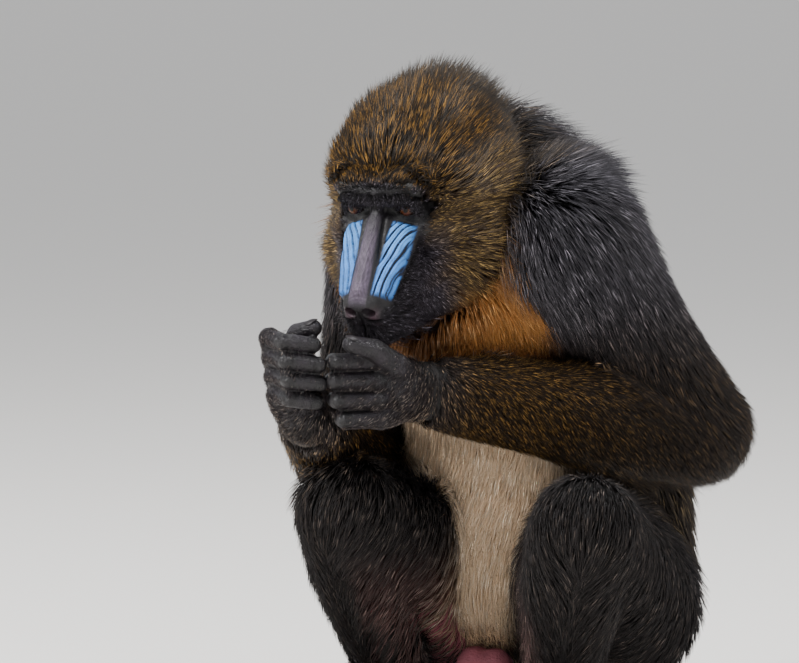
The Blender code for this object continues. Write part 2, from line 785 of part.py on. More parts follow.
for side in SIDES:
    cut_clear(neck, bpy.data.objects["upper_arm_" + side])
jaw = fuse("jaw", jaw_masses(), CORE_SHARE, 0.004, 3, 220)
cut_clear(jaw, head, chest)
cut_clear(neck, jaw)

# The locks, in order from the head down. Later ones keep clear of earlier ones
COATS = [
    ("head", cranium_masses(), Coat(2.75, 6.2, 3.6, lie_of_head, on_crown_or_cheek)),
    ("jaw", jaw_masses(), Coat(2.0, 5.5, 2.8, lie_of_beard, on_throat)),
    ("neck", trunk_masses(), Coat(3.0, 7.0, 4.2, lie_of_mantle)),
    ("chest", trunk_masses(), Coat(4.6, 11.0, 6.0, lie_of_mantle)),
    ("abdomen", trunk_masses(), Coat(5.4, 10.0, 6.0, lie_downwards)),
    ("pelvis", trunk_masses(), Coat(5.0, 8.0, 5.0, lie_downwards, clear_of_floor)),
]
for side in SIDES:
    lie_of_arm = lie_along(SHOULDER[side], ELBOW[side], 0.4)
    COATS.append(("upper_arm_" + side, arm_masses(side), Coat(4.3, 9.5, 5.0, lie_of_arm)))
    lie_of_thigh = lie_along(KNEE[side], HIP[side], 0.9)
    COATS.append(("thigh_" + side, thigh_masses(side), Coat(5.2, 8.5, 5.6, lie_of_thigh, clear_of_floor)))

for seed, (name, masses, coat) in enumerate(COATS):
    obj = bpy.data.objects[name]
    others = [other for other in bpy.data.objects if other is not obj and near(obj, other)]
    add_locks(obj, coat, masses, seed, others)


# Colours of the coat and of the bare skin
FINISHES = {
    "black_coat": ((0.045, 0.042, 0.045), 0.8),
    "brown_coat": ((0.10, 0.075, 0.045), 0.8),
    "pale_coat": ((0.45, 0.38, 0.30), 0.85),
    "orange_coat": ((0.42, 0.22, 0.08), 0.85),
    "dark_skin": ((0.07, 0.06, 0.07), 0.5),
    "pink_skin": ((0.50, 0.20, 0.22), 0.5),
    "amber_eye": ((0.20, 0.08, 0.03), 0.15),
}
WEARS = {
    "black_coat": ("chest", "neck", "pelvis", "tail", "thigh_", "shank_"),
    "brown_coat": ("head", "upper_arm_", "forearm_"),
    "pale_coat": ("abdomen",),
    "orange_coat": ("jaw",),
    "dark_skin": ("hand_", "foot_"),
    "pink_skin": ("scrotum", "ear_"),
    "amber_eye": ("eye_",),
}
for finish, starts in WEARS.items():
    material = coat_material(finish, *FINISHES[finish])
    for obj in bpy.data.objects:
        if obj.name.startswith(starts):
            obj.data.materials.clear()
            obj.data.materials.append(material)
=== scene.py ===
"""A male mandrill sitting with its knees up and both hands raised to its mouth, life size.

The animal faces -Y, its left side is +X, and it rests on the floor at z = 0. Smooth skins carry the
body, head, hands and feet, and the coat over them is closed tufts of hair that follow its lie.
"""
import math

import bmesh
import bpy
import numpy as np
from mathutils import Matrix, Vector
from mathutils.bvhtree import BVHTree
from mathutils.kdtree import KDTree


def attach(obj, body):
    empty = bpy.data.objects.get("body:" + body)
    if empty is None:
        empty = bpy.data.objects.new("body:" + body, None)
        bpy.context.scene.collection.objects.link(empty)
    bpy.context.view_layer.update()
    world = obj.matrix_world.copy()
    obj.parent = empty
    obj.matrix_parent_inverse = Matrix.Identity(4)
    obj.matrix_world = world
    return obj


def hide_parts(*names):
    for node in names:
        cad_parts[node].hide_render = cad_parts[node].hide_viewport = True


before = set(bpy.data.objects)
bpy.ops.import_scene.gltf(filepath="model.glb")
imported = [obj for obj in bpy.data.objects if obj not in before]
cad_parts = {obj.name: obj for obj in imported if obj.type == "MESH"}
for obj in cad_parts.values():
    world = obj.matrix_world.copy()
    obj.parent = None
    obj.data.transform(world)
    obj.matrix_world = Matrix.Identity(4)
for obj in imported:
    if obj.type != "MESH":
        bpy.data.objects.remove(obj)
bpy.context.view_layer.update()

# The camera stands at the animal's left front, a little above its head, and looks down on it.
# A long lens from far off keeps the proportions of the photograph.
CM = 0.01
CAMERA_TURN = math.radians(30)
CAMERA_RISE = math.radians(9)
CAMERA_DISTANCE = 4.5
PICTURE_WIDTH, PICTURE_HEIGHT = 799, 663
METRES_A_PIXEL = 0.00092
SEAT_IN_PICTURE = (535.0, 717.0)
SENSOR = 36.0

towards_camera = Vector((
    math.sin(CAMERA_TURN) * math.cos(CAMERA_RISE),
    -math.cos(CAMERA_TURN) * math.cos(CAMERA_RISE),
    math.sin(CAMERA_RISE),
))
picture_right = Vector((math.cos(CAMERA_TURN), math.sin(CAMERA_TURN), 0))
picture_up = towards_camera.cross(picture_right)
aim = picture_right * (PICTURE_WIDTH / 2 - SEAT_IN_PICTURE[0]) * METRES_A_PIXEL
aim += picture_up * (SEAT_IN_PICTURE[1] - PICTURE_HEIGHT / 2) * METRES_A_PIXEL
camera = bpy.data.objects.new("camera", bpy.data.cameras.new("camera"))
bpy.context.scene.collection.objects.link(camera)
camera.location = towards_camera * CAMERA_DISTANCE
camera.rotation_mode = "QUATERNION"
camera.rotation_quaternion = (aim - camera.location).to_track_quat("-Z", "Y")
camera.data.sensor_width = SENSOR
camera.data.lens = SENSOR * (aim - camera.location).length / (PICTURE_WIDTH * METRES_A_PIXEL)
bpy.context.scene.camera = camera


# Studio: a plain pale floor without an edge in sight, a broad soft key light from the upper left,
# a weaker fill from the right, and a light from above that gives the long coat its sheen.
def linear(hex_colour):
    """An sRGB hex colour as linear red, green and blue."""
    shares = [int(hex_colour[i:i + 2], 16) / 255 for i in (1, 3, 5)]
    return tuple(c / 12.92 if c <= 0.04045 else ((c + 0.055) / 1.055) ** 2.4 for c in shares)


def add_node(tree, kind, settings=None, **links):
    """Adds a node. Each link names an input, by number or name, and gives it a socket or a value."""
    node = tree.nodes.new(kind)
    for name, value in (settings or {}).items():
        setattr(node, name, value)
    for name, value in links.items():
        socket = node.inputs[int(name[1:])] if name[1:].isdigit() else node.inputs[name.replace("_", " ")]
        if isinstance(value, bpy.types.NodeSocket):
            tree.links.new(value, socket)
        else:
            socket.default_value = value
    return node


def new_object(name, mesh):
    """Makes an object of a bmesh, which is used up."""
    data = bpy.data.meshes.new(name)
    mesh.to_mesh(data)
    mesh.free()
    obj = bpy.data.objects.new(name, data)
    bpy.context.scene.collection.objects.link(obj)
    return obj


FLOOR_RADIUS = 300.0
FLOOR_DROP = 0.0005
STUDIO_BRIGHTNESS = 0.85
LIT_SPOT = Vector((0, -0.1, 0.35))
floor_mesh = bmesh.new()
bmesh.ops.create_circle(floor_mesh, cap_ends=True, segments=96, radius=FLOOR_RADIUS)
bmesh.ops.translate(floor_mesh, verts=floor_mesh.verts, vec=(0, 0, -FLOOR_DROP))
floor = new_object("floor", floor_mesh)
floor_paint = bpy.data.materials.new("matt_floor_paint")
floor_paint.use_nodes = True
floor_shader = floor_paint.node_tree.nodes["Principled BSDF"]
floor_shader.inputs["Base Color"].default_value = (*linear("#efece7"), 1)
floor_shader.inputs["Roughness"].default_value = 0.9
floor.data.materials.append(floor_paint)

world = bpy.data.worlds.new("studio")
world.use_nodes = True
world.node_tree.nodes["Background"].inputs["Color"].default_value = (*linear("#e6e8ec"), 1)
world.node_tree.nodes["Background"].inputs["Strength"].default_value = STUDIO_BRIGHTNESS
bpy.context.scene.world = world

# Each light: where it stands, its width in metres, and its power in watts
LIGHTS = {
    "key": ((-1.6, -2.4, 2.6), 1.2, 200),
    "fill": ((2.8, -1.6, 1.2), 1.8, 26),
    "top": ((0.9, 0.5, 3.0), 1.4, 85),
}
for name, (spot, size, power) in LIGHTS.items():
    lamp = bpy.data.objects.new(name, bpy.data.lights.new(name, "AREA"))
    lamp.data.shape = "DISK"
    lamp.data.size = size
    lamp.data.energy = power
    lamp.location = spot
    lamp.rotation_euler = (LIT_SPOT - lamp.location).to_track_quat("-Z", "Y").to_euler()
    bpy.context.scene.collection.objects.link(lamp)


# The body under the coat: muscle and bone as balls and tapered capsules between the joints of the
# skeleton. Each has the depth of the coat over it and the kind of hair that grows there.
def place(x, y, z):
    """A point given in centimetres."""
    return Vector((x, y, z)) * CM


SIDES = {"left": 1, "right": -1}
HIP = {"left": place(7.5, -0.5, 11.5), "right": place(-7.5, -0.5, 11.5)}
KNEE = {"left": place(16.5, -20.0, 20.5), "right": place(-7.6, -19.8, 20.6)}
ANKLE = {"left": place(8.5, -11.0, 5.2), "right": place(-9.5, -10.0, 5.2)}
TOE = {"left": place(16.0, -27.0, 1.0), "right": place(-12.0, -27.0, 1.0)}
SHOULDER = {"left": place(9.3, -9.0, 43.8), "right": place(-10.5, -7.5, 42.0)}
ELBOW = {"left": place(17.0, -0.6, 27.5), "right": place(-16.0, -4.5, 23.0)}
WRIST = {"left": place(1.0, -22.3, 32.0), "right": place(-7.9, -25.9, 29.6)}
HEAD_CENTRE = place(-2.2, -16.4, 47.7)
HEAD_FRAME = Matrix.Rotation(math.radians(3), 3, "Z") @ Matrix.Rotation(math.radians(18), 3, "X")


def on_head(side, forward, up):
    """A point of the head in centimetres from its centre: to its left, towards the nose, and up."""
    return HEAD_CENTRE + HEAD_FRAME @ place(side, -forward, up)


class Mass:
    """A ball at a, or a capsule from a to b, with flesh radii and coat depths in centimetres."""

    def __init__(
        self, hair, a, b=None, radius=1.0, end_radius=None, coat=0.0, end_coat=None, shape=(1, 1, 1),
        turn=None,
    ):
        self.hair = hair
        self.a = a
        self.b = a if b is None else b
        self.radius = radius * CM
        self.end_radius = self.radius if end_radius is None else end_radius * CM
        self.coat = coat * CM
        self.end_coat = self.coat if end_coat is None else end_coat * CM
        self.shape = Vector(shape)
        self.turn = Matrix.Identity(3) if turn is None else turn

    def add_to(self, mesh, fill):
        """Adds the flesh to a bmesh, with a share of the coat's depth."""
        ball = bmesh.ops.create_icosphere(mesh, subdivisions=4, radius=1.0)
        axis = (self.b - self.a).normalized()
        back = self.turn.inverted()
        for vertex in ball["verts"]:
            way = vertex.co.normalized()
            at_end = way.dot(axis) > 0
            shaped = Vector(s * c for s, c in zip(self.shape, back @ way))
            start, flesh = (self.b, self.end_radius) if at_end else (self.a, self.radius)
            coat = self.end_coat if at_end else self.coat
            vertex.co = start + self.turn @ shaped * flesh + way * coat * fill


def trunk_masses():
    """The rump, belly, back, chest, neck and tail."""
    masses = [
        Mass("rump", place(-4.0, 3.0, 9.5), place(4.0, 3.0, 9.5), 7.6, coat=2.0),
        Mass("back", place(0, -0.5, 15.5), radius=9.8, coat=1.8, shape=(1.12, 1, 1)),
        Mass("back", place(0, 1.2, 22.5), radius=9.8, coat=2.0, shape=(1.1, 1, 1)),
        Mass("back", place(-0.5, 0.8, 30), radius=10.0, coat=2.4, shape=(1.08, 1, 1)),
        Mass("mantle", place(-1.0, -2.5, 38.0), radius=10.0, coat=3.0, shape=(1.05, 1, 1)),
        Mass("mantle", place(-1.2, -4.5, 44.5), radius=7.0, coat=4.3),
        Mass("chest", place(-1.2, -9.5, 37.0), radius=7.5, coat=2.2),
        Mass("nape", place(-1.4, -6.5, 44.5), place(-2.0, -13.5, 46.0), 6.8, 5.8, coat=3.6),
        Mass("nape", place(0.2, -9.5, 50.0), place(0.8, -5.5, 48.0), 3.0, coat=6.0, end_coat=6.0),
        Mass("mantle", place(5.5, -3.0, 42.5), SHOULDER["left"] + place(-1, 0, 0), 5.0, coat=2.8),
        Mass(
            "mantle", place(-8.0, -3.0, 42.0), SHOULDER["right"] + place(1, 0, 0), 5.0, 4.6,
            coat=2.6, end_coat=2.4,
        ),
        Mass("rump", place(-3.6, 1.2, 4.6), place(3.6, 1.2, 4.6), 4.9, coat=0.4),
        Mass("tail", place(0, 10.0, 9.5), place(0.3, 14.5, 13.8), 1.5, 1.0, coat=0.9),
    ]
    for way in SIDES.values():
        behind_ear = on_head(3.6 * way, -3.0, -1.5)
        to_shoulder = place(5.0 * way - 1.2, -5.5, 45.0)
        masses.append(Mass("nape", behind_ear, to_shoulder, 2.8, coat=4.6, end_coat=5.0))
        masses.append(Mass("back", place(7.0 * way, 3.0, 14.0), place(6.6 * way, 3.0, 21.0), 5.5, coat=2.3))
        masses.append(Mass("bare", place(way * 1.1, -8.8 - way * 0.2, 5.6), radius=1.9, shape=(1, 1, 1.15)))
    return masses


def arm_masses(side):
    shoulder, elbow, wrist = SHOULDER[side], ELBOW[side], WRIST[side]
    middle = shoulder.lerp(elbow, 0.5)
    belly = elbow.lerp(wrist, 0.45) + place(0, 0, -0.3)
    return [
        Mass("upper_arm", shoulder, middle, 5.0, 4.2, coat=1.6, end_coat=1.4),
        Mass("upper_arm", middle, elbow, 4.2, 3.7, coat=1.4, end_coat=1.9),
        Mass("forearm", elbow, belly, 3.8, 3.7, coat=1.9, end_coat=1.3),
        Mass("forearm", belly, wrist, 3.5, 2.5, coat=1.3, end_coat=1.0),
    ]


def leg_masses(side):
    hip, knee, ankle = HIP[side], KNEE[side], ANKLE[side]
    middle, calf = hip.lerp(knee, 0.55), knee.lerp(ankle, 0.35)
    return [
        Mass("thigh", hip, middle, 7.6, 5.4, coat=1.9, end_coat=1.3),
        Mass("thigh", middle, knee, 5.4, 4.0, coat=1.3, end_coat=1.0),
        Mass("shank", knee, calf, 4.1, 3.8, coat=1.1, end_coat=1.4),
        Mass("shank", calf, ankle, 3.8, 2.3, coat=1.4, end_coat=0.7),
    ]


# Hands: bare leathery fingers closed in two loose fists, with short hair on their backs. Each finger
# is three capsules, one for each bone, that follow the curl of the fist.
HAND = {
    "left": {
        "knuckles": place(-0.3, -26.4, 32.2),
        "row": Vector((0.05, 0.05, -1.0)),
        "phalanges": ((-0.64, -0.77, 0.0), (-0.6, 0.8, -0.05), (0.6, 0.8, 0.0)),
        "thumb": (place(0.8, -25.5, 34.3), place(0.0, -27.7, 35.8), place(-1.2, -29.5, 36.3)),
    },
    "right": {
        "knuckles": place(-9.1, -29.5, 34.0),
        "row": Vector((0.1, 0.1, -1.0)),
        "phalanges": ((0.77, -0.64, 0.0), (0.72, 0.65, -0.12), (-0.56, 0.77, 0.0)),
        "thumb": (place(-8.4, -27.8, 35.4), place(-7.2, -28.6, 36.9), place(-5.4, -28.9, 37.5)),
    },
}
FINGER_PITCH = 1.68
PHALANX_LENGTHS = (4.0, 2.9, 1.9)
FINGER_RADII = (0.86, 0.8, 0.74, 0.62)
FINGER_SCALE = (0.94, 1.0, 0.97, 0.84)
FINGER_FLESH = 0.95


def finger_joints(side, finger):
    """The four joints of a finger, knuckle to tip. Finger 0 is the forefinger."""
    hand = HAND[side]
    joints = [hand["knuckles"] + hand["row"].normalized() * (finger - 1.5) * FINGER_PITCH * CM]
    for way, length in zip(hand["phalanges"], PHALANX_LENGTHS):
        joints.append(joints[-1] + Vector(way).normalized() * length * FINGER_SCALE[finger] * CM)
    return joints


def phalanges(joints):
    """The flesh of a finger. Hair grows on its first length only."""
    kinds = ("hand", "bare", "bare")
    sizes = [radius * FINGER_FLESH for radius in FINGER_RADII]
    return [Mass(*row) for row in zip(kinds, joints, joints[1:], sizes, sizes[1:])]


def hand_masses(side):
    wrist = WRIST[side]
    masses = [Mass("hand", wrist, wrist.lerp(HAND[side]["knuckles"], 0.4), 2.4, 2.3, coat=0.7, end_coat=0.5)]
    for finger in range(4):
        joints = finger_joints(side, finger)
        masses.append(Mass("hand", wrist.lerp(joints[0], 0.25), joints[0], 1.5, 1.0, coat=0.5, end_coat=0.2))
        masses += phalanges(joints)
    root, middle, tip = HAND[side]["thumb"]
    masses.append(Mass("hand", wrist.lerp(root, 0.3), root, 1.6, 1.15, coat=0.3, end_coat=0.1))
    masses.append(Mass("bare", root, middle, 1.1, 0.95))
    masses.append(Mass("bare", middle, tip, 0.95, 0.75))
    return masses


# Feet: long and flat, with bare toes and soles and a big toe that stands off like a thumb. Each toe is
# two capsules from its knuckle to its tip.
TOE_PITCH = 1.75
TOE_LENGTHS = (4.0, 4.6, 4.5, 4.0)


def toe_joints(side):
    """For each toe its knuckle, middle and tip. The big toe comes last."""
    ankle, toe = ANKLE[side], TOE[side]
    way = ((toe - ankle) * Vector((1, 1, 0))).normalized()
    across = Vector((0, 0, 1)).cross(way) * SIDES[side]
    heel = ankle * Vector((1, 1, 0)) - way * 3.0 * CM + place(0, 0, 2.1)
    ball = toe * Vector((1, 1, 0)) - way * 4.2 * CM + place(0, 0, 1.5)
    toes = []
    for index, length in enumerate(TOE_LENGTHS):
        knuckle = ball + across * (index - 1.5) * TOE_PITCH * CM - way * 0.35 * index * CM
        middle = knuckle + way * length * 0.55 * CM + place(0, 0, -0.1)
        toes.append((knuckle, middle, knuckle + way * length * CM + place(0, 0, -0.65)))
    root = heel.lerp(ball, 0.35) - across * 2.2 * CM
    middle = root + way * 3.6 * CM - across * 1.9 * CM + place(0, 0, -0.5)
    toes.append((root, middle, middle + way * 3.0 * CM - across * 0.6 * CM + place(0, 0, -0.35)))
    return heel, ball, toes


def foot_masses(side):
    ankle = ANKLE[side]
    heel, ball, toes = toe_joints(side)
    masses = [
        Mass("foot", ankle, heel, 2.3, 2.2, coat=0.7, end_coat=0.1),
        Mass("foot", heel, heel.lerp(ball, 0.45), 2.2, 1.9, coat=0.1, end_coat=0.2),
    ]
    for knuckle, middle, tip in toes[:4]:
        masses.append(Mass("foot", ankle.lerp(ball, 0.35), knuckle, 1.9, 1.2, coat=0.3, end_coat=0.1))
        masses.append(Mass("bare", knuckle, middle, 1.05, 0.95))
        masses.append(Mass("bare", middle, tip, 0.95, 0.75))
    root, middle, tip = toes[4]
    masses.append(Mass("foot", root, middle, 1.6, 1.25, coat=0.1))
    masses.append(Mass("bare", middle, tip, 1.25, 0.95))
    return masses


# Head: a long muzzle and a heavy brow of bone and thin flesh, with jaw muscles behind them, under hair
# that is short on the face and long round it. Each mass is given in centimetres of the head.
EYE_RADIUS = 1.12
LID_THICKNESS = 0.24
EYE_PLACE = (2.5, 6.2, 2.3)


def eye_centre(way):
    side, forward, up = EYE_PLACE
    return on_head(side * way, forward, up)


def head_mass(start, end=None, radius=1.0, end_radius=None, coat=0.0, end_coat=None, shape=(1, 1, 1)):
    """A mass between two places of the head, each given to its left, towards the nose, and up."""
    end = None if end is None else on_head(*end)
    turn = None if shape == (1, 1, 1) else HEAD_FRAME
    return Mass("head", on_head(*start), end, radius, end_radius, coat, end_coat, shape, turn)


def head_masses():
    masses = [
        head_mass((0, -0.5, 2.0), None, 5.4, coat=1.6, shape=(0.98, 1.1, 0.98)),
        head_mass((0, 0.3, 4.5), (0, -6.0, 4.3), 3.0, 2.6, coat=5.2, end_coat=6.3),
        head_mass((0, 3.2, 4.6), None, 2.5, coat=2.6, shape=(1.3, 1, 1)),
        head_mass((0, 3.6, 1.5), None, 3.7, coat=0.3, shape=(1.1, 1, 1)),
        head_mass((0, 6.3, -0.6), (0, 11.2, -4.5), 2.9, 2.1, shape=(0.98, 1, 1.05)),
        head_mass((0, 6.9, 2.4), (0, 12.5, -3.3), 0.9, 0.9),
        head_mass((-0.8, 12.6, -4.4), (0.8, 12.6, -4.4), 1.0),
        head_mass((0, 5.5, -6.0), (0, 10.6, -7.4), 2.3, 1.5, coat=0.6, end_coat=0.3),
        head_mass((-1.0, 11.3, -7.3), (1.0, 11.3, -7.3), 1.05, coat=0.2),
        head_mass((0, 0.5, -6.8), (0, 6.5, -7.2), 2.6, 1.8, coat=2.6, end_coat=1.0),
    ]
    for way in SIDES.values():
        masses += [
            head_mass((0, 7.0, 3.7), (3.4 * way, 6.3, 4.1), 1.05, coat=0.35, end_coat=0.3),
            head_mass((4.1 * way, 2.3, -0.6), (3.9 * way, 5.6, 0.0), 2.3, 1.5, coat=1.4, end_coat=0.2),
            head_mass((3.6 * way, 0.5, -3.0), (3.2 * way, -3.0, 0.5), 3.2, 3.4, coat=3.2, end_coat=3.4),
            head_mass((3.0 * way, 1.5, 3.4), (3.0 * way, -3.0, 3.9), 3.0, coat=2.3, end_coat=3.6),
            head_mass((3.5 * way, 1.8, -3.6), None, 2.8, coat=4.0),
            head_mass((EYE_PLACE[0] * way, *EYE_PLACE[1:]), None, EYE_RADIUS + LID_THICKNESS),
            head_mass((2.35 * way, 7.4, -0.4), (1.6 * way, 11.4, -3.9), 1.3, 0.95),
            head_mass((2.6 * way, 8.0, -4.3), (1.3 * way, 12.0, -5.6), 1.3, 1.0, coat=0.2),
            head_mass((2.9 * way, 4.2, -2.8), (2.2 * way, 8.2, -3.2), 2.3, 1.5, coat=1.0, end_coat=0.3),
            head_mass((3.2 * way, 3.0, -4.9), (1.6 * way, 9.8, -6.9), 2.0, 1.4, coat=1.4, end_coat=0.2),
        ]
    return masses


def apply_modifiers(obj):
    """Replaces the object's mesh by what its modifiers make of it."""
    graph = bpy.context.evaluated_depsgraph_get()
    made = bpy.data.meshes.new_from_object(obj.evaluated_get(graph))
    obj.modifiers.clear()
    old = obj.data
    obj.data = made
    bpy.data.meshes.remove(old)
    return obj


def fuse(name, masses, voxel, smooth_steps, finer=0, fill=0):
    """Fuses masses into one smooth closed skin. Each finer step halves its faces' sides."""
    mesh = bmesh.new()
    for mass in masses:
        mass.add_to(mesh, fill)
    obj = new_object(name, mesh)
    remesh = obj.modifiers.new("Fuse", "REMESH")
    remesh.mode = "VOXEL"
    remesh.voxel_size = voxel
    smooth = obj.modifiers.new("Blend", "SMOOTH")
    smooth.factor = 0.5
    smooth.iterations = smooth_steps
    if finer:
        detail = obj.modifiers.new("Finer", "SUBSURF")
        detail.levels = detail.render_levels = finer
    return apply_modifiers(obj)


def read(items, name, width=1, kind=float):
    """What a mesh's items say under a name: one value each, or one row each."""
    values = np.empty(len(items) * width, kind)
    items.foreach_get(name, values)
    return values if width == 1 else values.reshape(-1, width)


def corners(mesh):
    return read(mesh.vertices, "co", 3)


def corner_normals(mesh):
    return read(mesh.vertices, "normal", 3)


# The skins: all masses are fused on voxels into smooth closed skins, coarser under the coat and finer
# where the skin is bare and shows its folds. The sides of the voxels are in metres.
BODY_VOXEL, HAND_VOXEL, FOOT_VOXEL, HEAD_VOXEL = 0.005, 0.0014, 0.0021, 0.0033
trunk = trunk_masses()
arms = {side: arm_masses(side) for side in SIDES}
legs = {side: leg_masses(side) for side in SIDES}
hands = {side: hand_masses(side) for side in SIDES}
feet = {side: foot_masses(side) for side in SIDES}
head = head_masses()
limbs = [mass for side in SIDES for mass in arms[side] + legs[side]]
body_skin = fuse("skin_body", trunk + limbs, BODY_VOXEL, 4)
hand_skin = {side: fuse("skin_hand_" + side, hands[side], HAND_VOXEL, 2) for side in SIDES}
foot_skin = {side: fuse("skin_foot_" + side, feet[side] + legs[side][3:], FOOT_VOXEL, 2) for side in SIDES}
head_skin = fuse("skin_head", head, HEAD_VOXEL, 4, 1)


def gap_to(mass, spots):
    """How far points lie outside the flesh of a mass, in metres, and how far along it, 0 to 1."""
    axis = np.array(mass.b - mass.a)
    from_a = spots - np.array(mass.a)
    t = np.clip(from_a @ axis / max(axis @ axis, 1e-9), 0, 1)
    offset = (from_a - t[:, None] * axis) @ np.array(mass.turn) / np.array(mass.shape)
    return np.linalg.norm(offset, axis=1) - (mass.radius + t * (mass.end_radius - mass.radius)), t


# The seat and the soles press flat on the floor
LOWEST_SKIN = 0.0006
for skin in [body_skin, *foot_skin.values()]:
    spots = corners(skin.data)
    spots[:, 2] = np.maximum(spots[:, 2], LOWEST_SKIN)
    skin.data.vertices.foreach_set("co", spots.ravel())

# The face: bare skin over the brow, the long muzzle and the ribbed blue swellings beside the nose.
# All of it is measured on the head, in centimetres to its side, along the muzzle from between the
# eyes to the nose, and out from the muzzle's axis, and is pressed into or raised from the skin.
MUZZLE_TURN = math.radians(47.6)


def head_local(spots):
    """Centimetres to the head's left, towards its nose, and up, one row a point."""
    local = (spots - np.array(HEAD_CENTRE)) @ np.array(HEAD_FRAME) / CM
    return local[:, 0], -local[:, 1], local[:, 2]


def along_muzzle(forward, up):
    """How far a point lies down the muzzle from between the eyes, and how far out from its axis."""
    down, out = math.sin(MUZZLE_TURN), math.cos(MUZZLE_TURN)
    along = (forward - 6.0) * out - (up - 2.6) * down
    rise = (forward - 6.0) * down + (up - 2.6) * out
    return along, rise


def ramp(value, low, high):
    """0 below low, 1 above high, and smooth between. High may be the smaller."""
    share = np.clip((value - low) / (high - low), 0, 1)
    return share * share * (3 - 2 * share)


def bump(value, centre, width):
    """A round bump of height 1."""
    return np.exp(-(((value - centre) / width) ** 2))


def ridge_place(side, along):
    """Where a point is on the swelling beside the nose: 0 to 1 across it, and 0 to 1 down it."""
    inner = np.interp(along, (2.2, 3.2, 4.8, 6.5, 8.9), (1.55, 1.42, 1.28, 1.2, 1.12))
    outer = np.interp(along, (2.0, 4.6, 6.4, 8.0, 8.9), (3.45, 3.25, 3.1, 2.85, 2.6))
    return (np.abs(side) - inner) / (outer - inner), (along - 2.1) / 6.8


def ridge_mask(side, along, rise):
    """1 on the blue swellings, 0 off them."""
    across, down = ridge_place(side, along)
    mask = ramp(across, -0.06, 0.05) * ramp(across, 1.08, 0.95)
    return mask * ramp(down, -0.03, 0.03) * ramp(down, 1.04, 0.96) * ramp(rise, -0.8, 0.0)


def ridge_grooves(side, along):
    """1 in the grooves of the swellings, 0 on the ribs between. They fan out to the outer edge."""
    across, down = ridge_place(side, along)
    fan = across - 0.95 * np.clip(1 - down, 0, 1) ** 1.7
    wander = 0.018 * np.sin(along * 1.9 + 1.0) + 0.012 * np.sin(along * 3.7 + side * 2)
    wave = np.abs(((fan + wander) * 3.1 + 0.2) % 1.0 - 0.5) * 2
    fine = np.abs(((fan + 2 * wander) * 6.2 + 0.7) % 1.0 - 0.5) * 2
    return np.maximum(ramp(wave, 0.34, 0.04), 0.3 * ramp(fine, 0.3, 0.0))


def bare_edge(side, forward, up):
    """Centimetres from the bare face's edge out into the fur. It is negative on bare skin."""
    along, _ = along_muzzle(forward, up)
    half = np.interp(along, (-1.2, 0.5, 2.2, 4.5, 6.5, 9.0, 10.5), (4.4, 4.0, 3.62, 3.38, 3.2, 2.85, 2.6))
    return np.maximum(np.abs(side) - half, np.maximum(0.05 - along, (4.2 - forward) * 0.8))


face_fine = bmesh.new()
face_fine.from_mesh(head_skin.data)
spots = corners(head_skin.data)
side, forward, up = head_local(spots)
on_face = (bare_edge(side, forward, up) < 0.5) & (forward > 4.5)
face_fine.verts.ensure_lookup_table()
fine_edges = [e for e in face_fine.edges if on_face[e.verts[0].index] and on_face[e.verts[1].index]]
bmesh.ops.subdivide_edges(face_fine, edges=fine_edges, cuts=1, use_grid_fill=True)
bmesh.ops.smooth_vert(
    face_fine, verts=face_fine.verts, factor=0.4, use_axis_x=True, use_axis_y=True, use_axis_z=True
)
face_fine.to_mesh(head_skin.data)
face_fine.free()

spots = corners(head_skin.data)
outward = corner_normals(head_skin.data)
side, forward, up = head_local(spots)
along, rise = along_muzzle(forward, up)
across, _ = ridge_place(side, along)
ridges = ridge_mask(side, along, rise)
grooves = ridge_grooves(side, along)
front = ramp(forward, 4.5, 6.0)
# How far each form of the face stands out or in, in centimetres
RIDGE_HEIGHT = 0.28
GROOVE_DEPTH = 0.19
NOSE_SIDE_DEPTH = 0.20
NOSE_DIP = 0.07
STREAK_HEIGHT = 0.022
WRINKLE_HEIGHT = 0.018
EYE_HOLLOW_DEPTH = 0.30
NOSTRIL_DEPTH = 0.9
MOUTH_DEPTH = 0.35
height = RIDGE_HEIGHT * ridges * np.sin(np.clip(across, 0, 1) * math.pi) ** 0.6
height -= GROOVE_DEPTH * ridges * grooves
crease = bump(np.abs(side), np.interp(along, (0.5, 3.0, 5.5), (0.85, 0.95, 1.12)), 0.13)
height -= NOSE_SIDE_DEPTH * crease * ramp(along, 0.2, 1.4) * ramp(along, 6.8, 4.5) * front
height -= NOSE_DIP * bump(side, 0, 0.5) * ramp(along, 7.0, 3.0) * front
streaks = np.sin(side * 19 + 1.6 * np.sin(along * 1.3)) * np.sin(along * 2.1 + 3 * side)
height += STREAK_HEIGHT * streaks * ramp(np.abs(side), 1.15, 0.8) * ramp(along, 1.5, 3.0) * front
wrinkles = np.sin(along * 19 + 2.2 * np.sin(side * 2.5 + 1)) * ramp(along, 7.6, 8.8) * ramp(along, 10.2, 9.6)
height += WRINKLE_HEIGHT * wrinkles * ramp(np.abs(side), 1.2, 0.6) * front
hollow = EYE_HOLLOW_DEPTH * bump(along, 1.2, 0.6) * ramp(np.abs(side), 3.8, 2.5)
height -= hollow * ramp(np.abs(side), 0.2, 0.9) * front
spots += outward * (height * CM)[:, None]


# Nostrils and the line of the mouth are pressed into the skin
def mouth_line(side, forward, up):
    """A bump along the line where the lips meet."""
    return bump(up, -5.95 + 0.10 * (np.abs(side) - 1.5) + 0.13 * (12.5 - forward), 0.22)


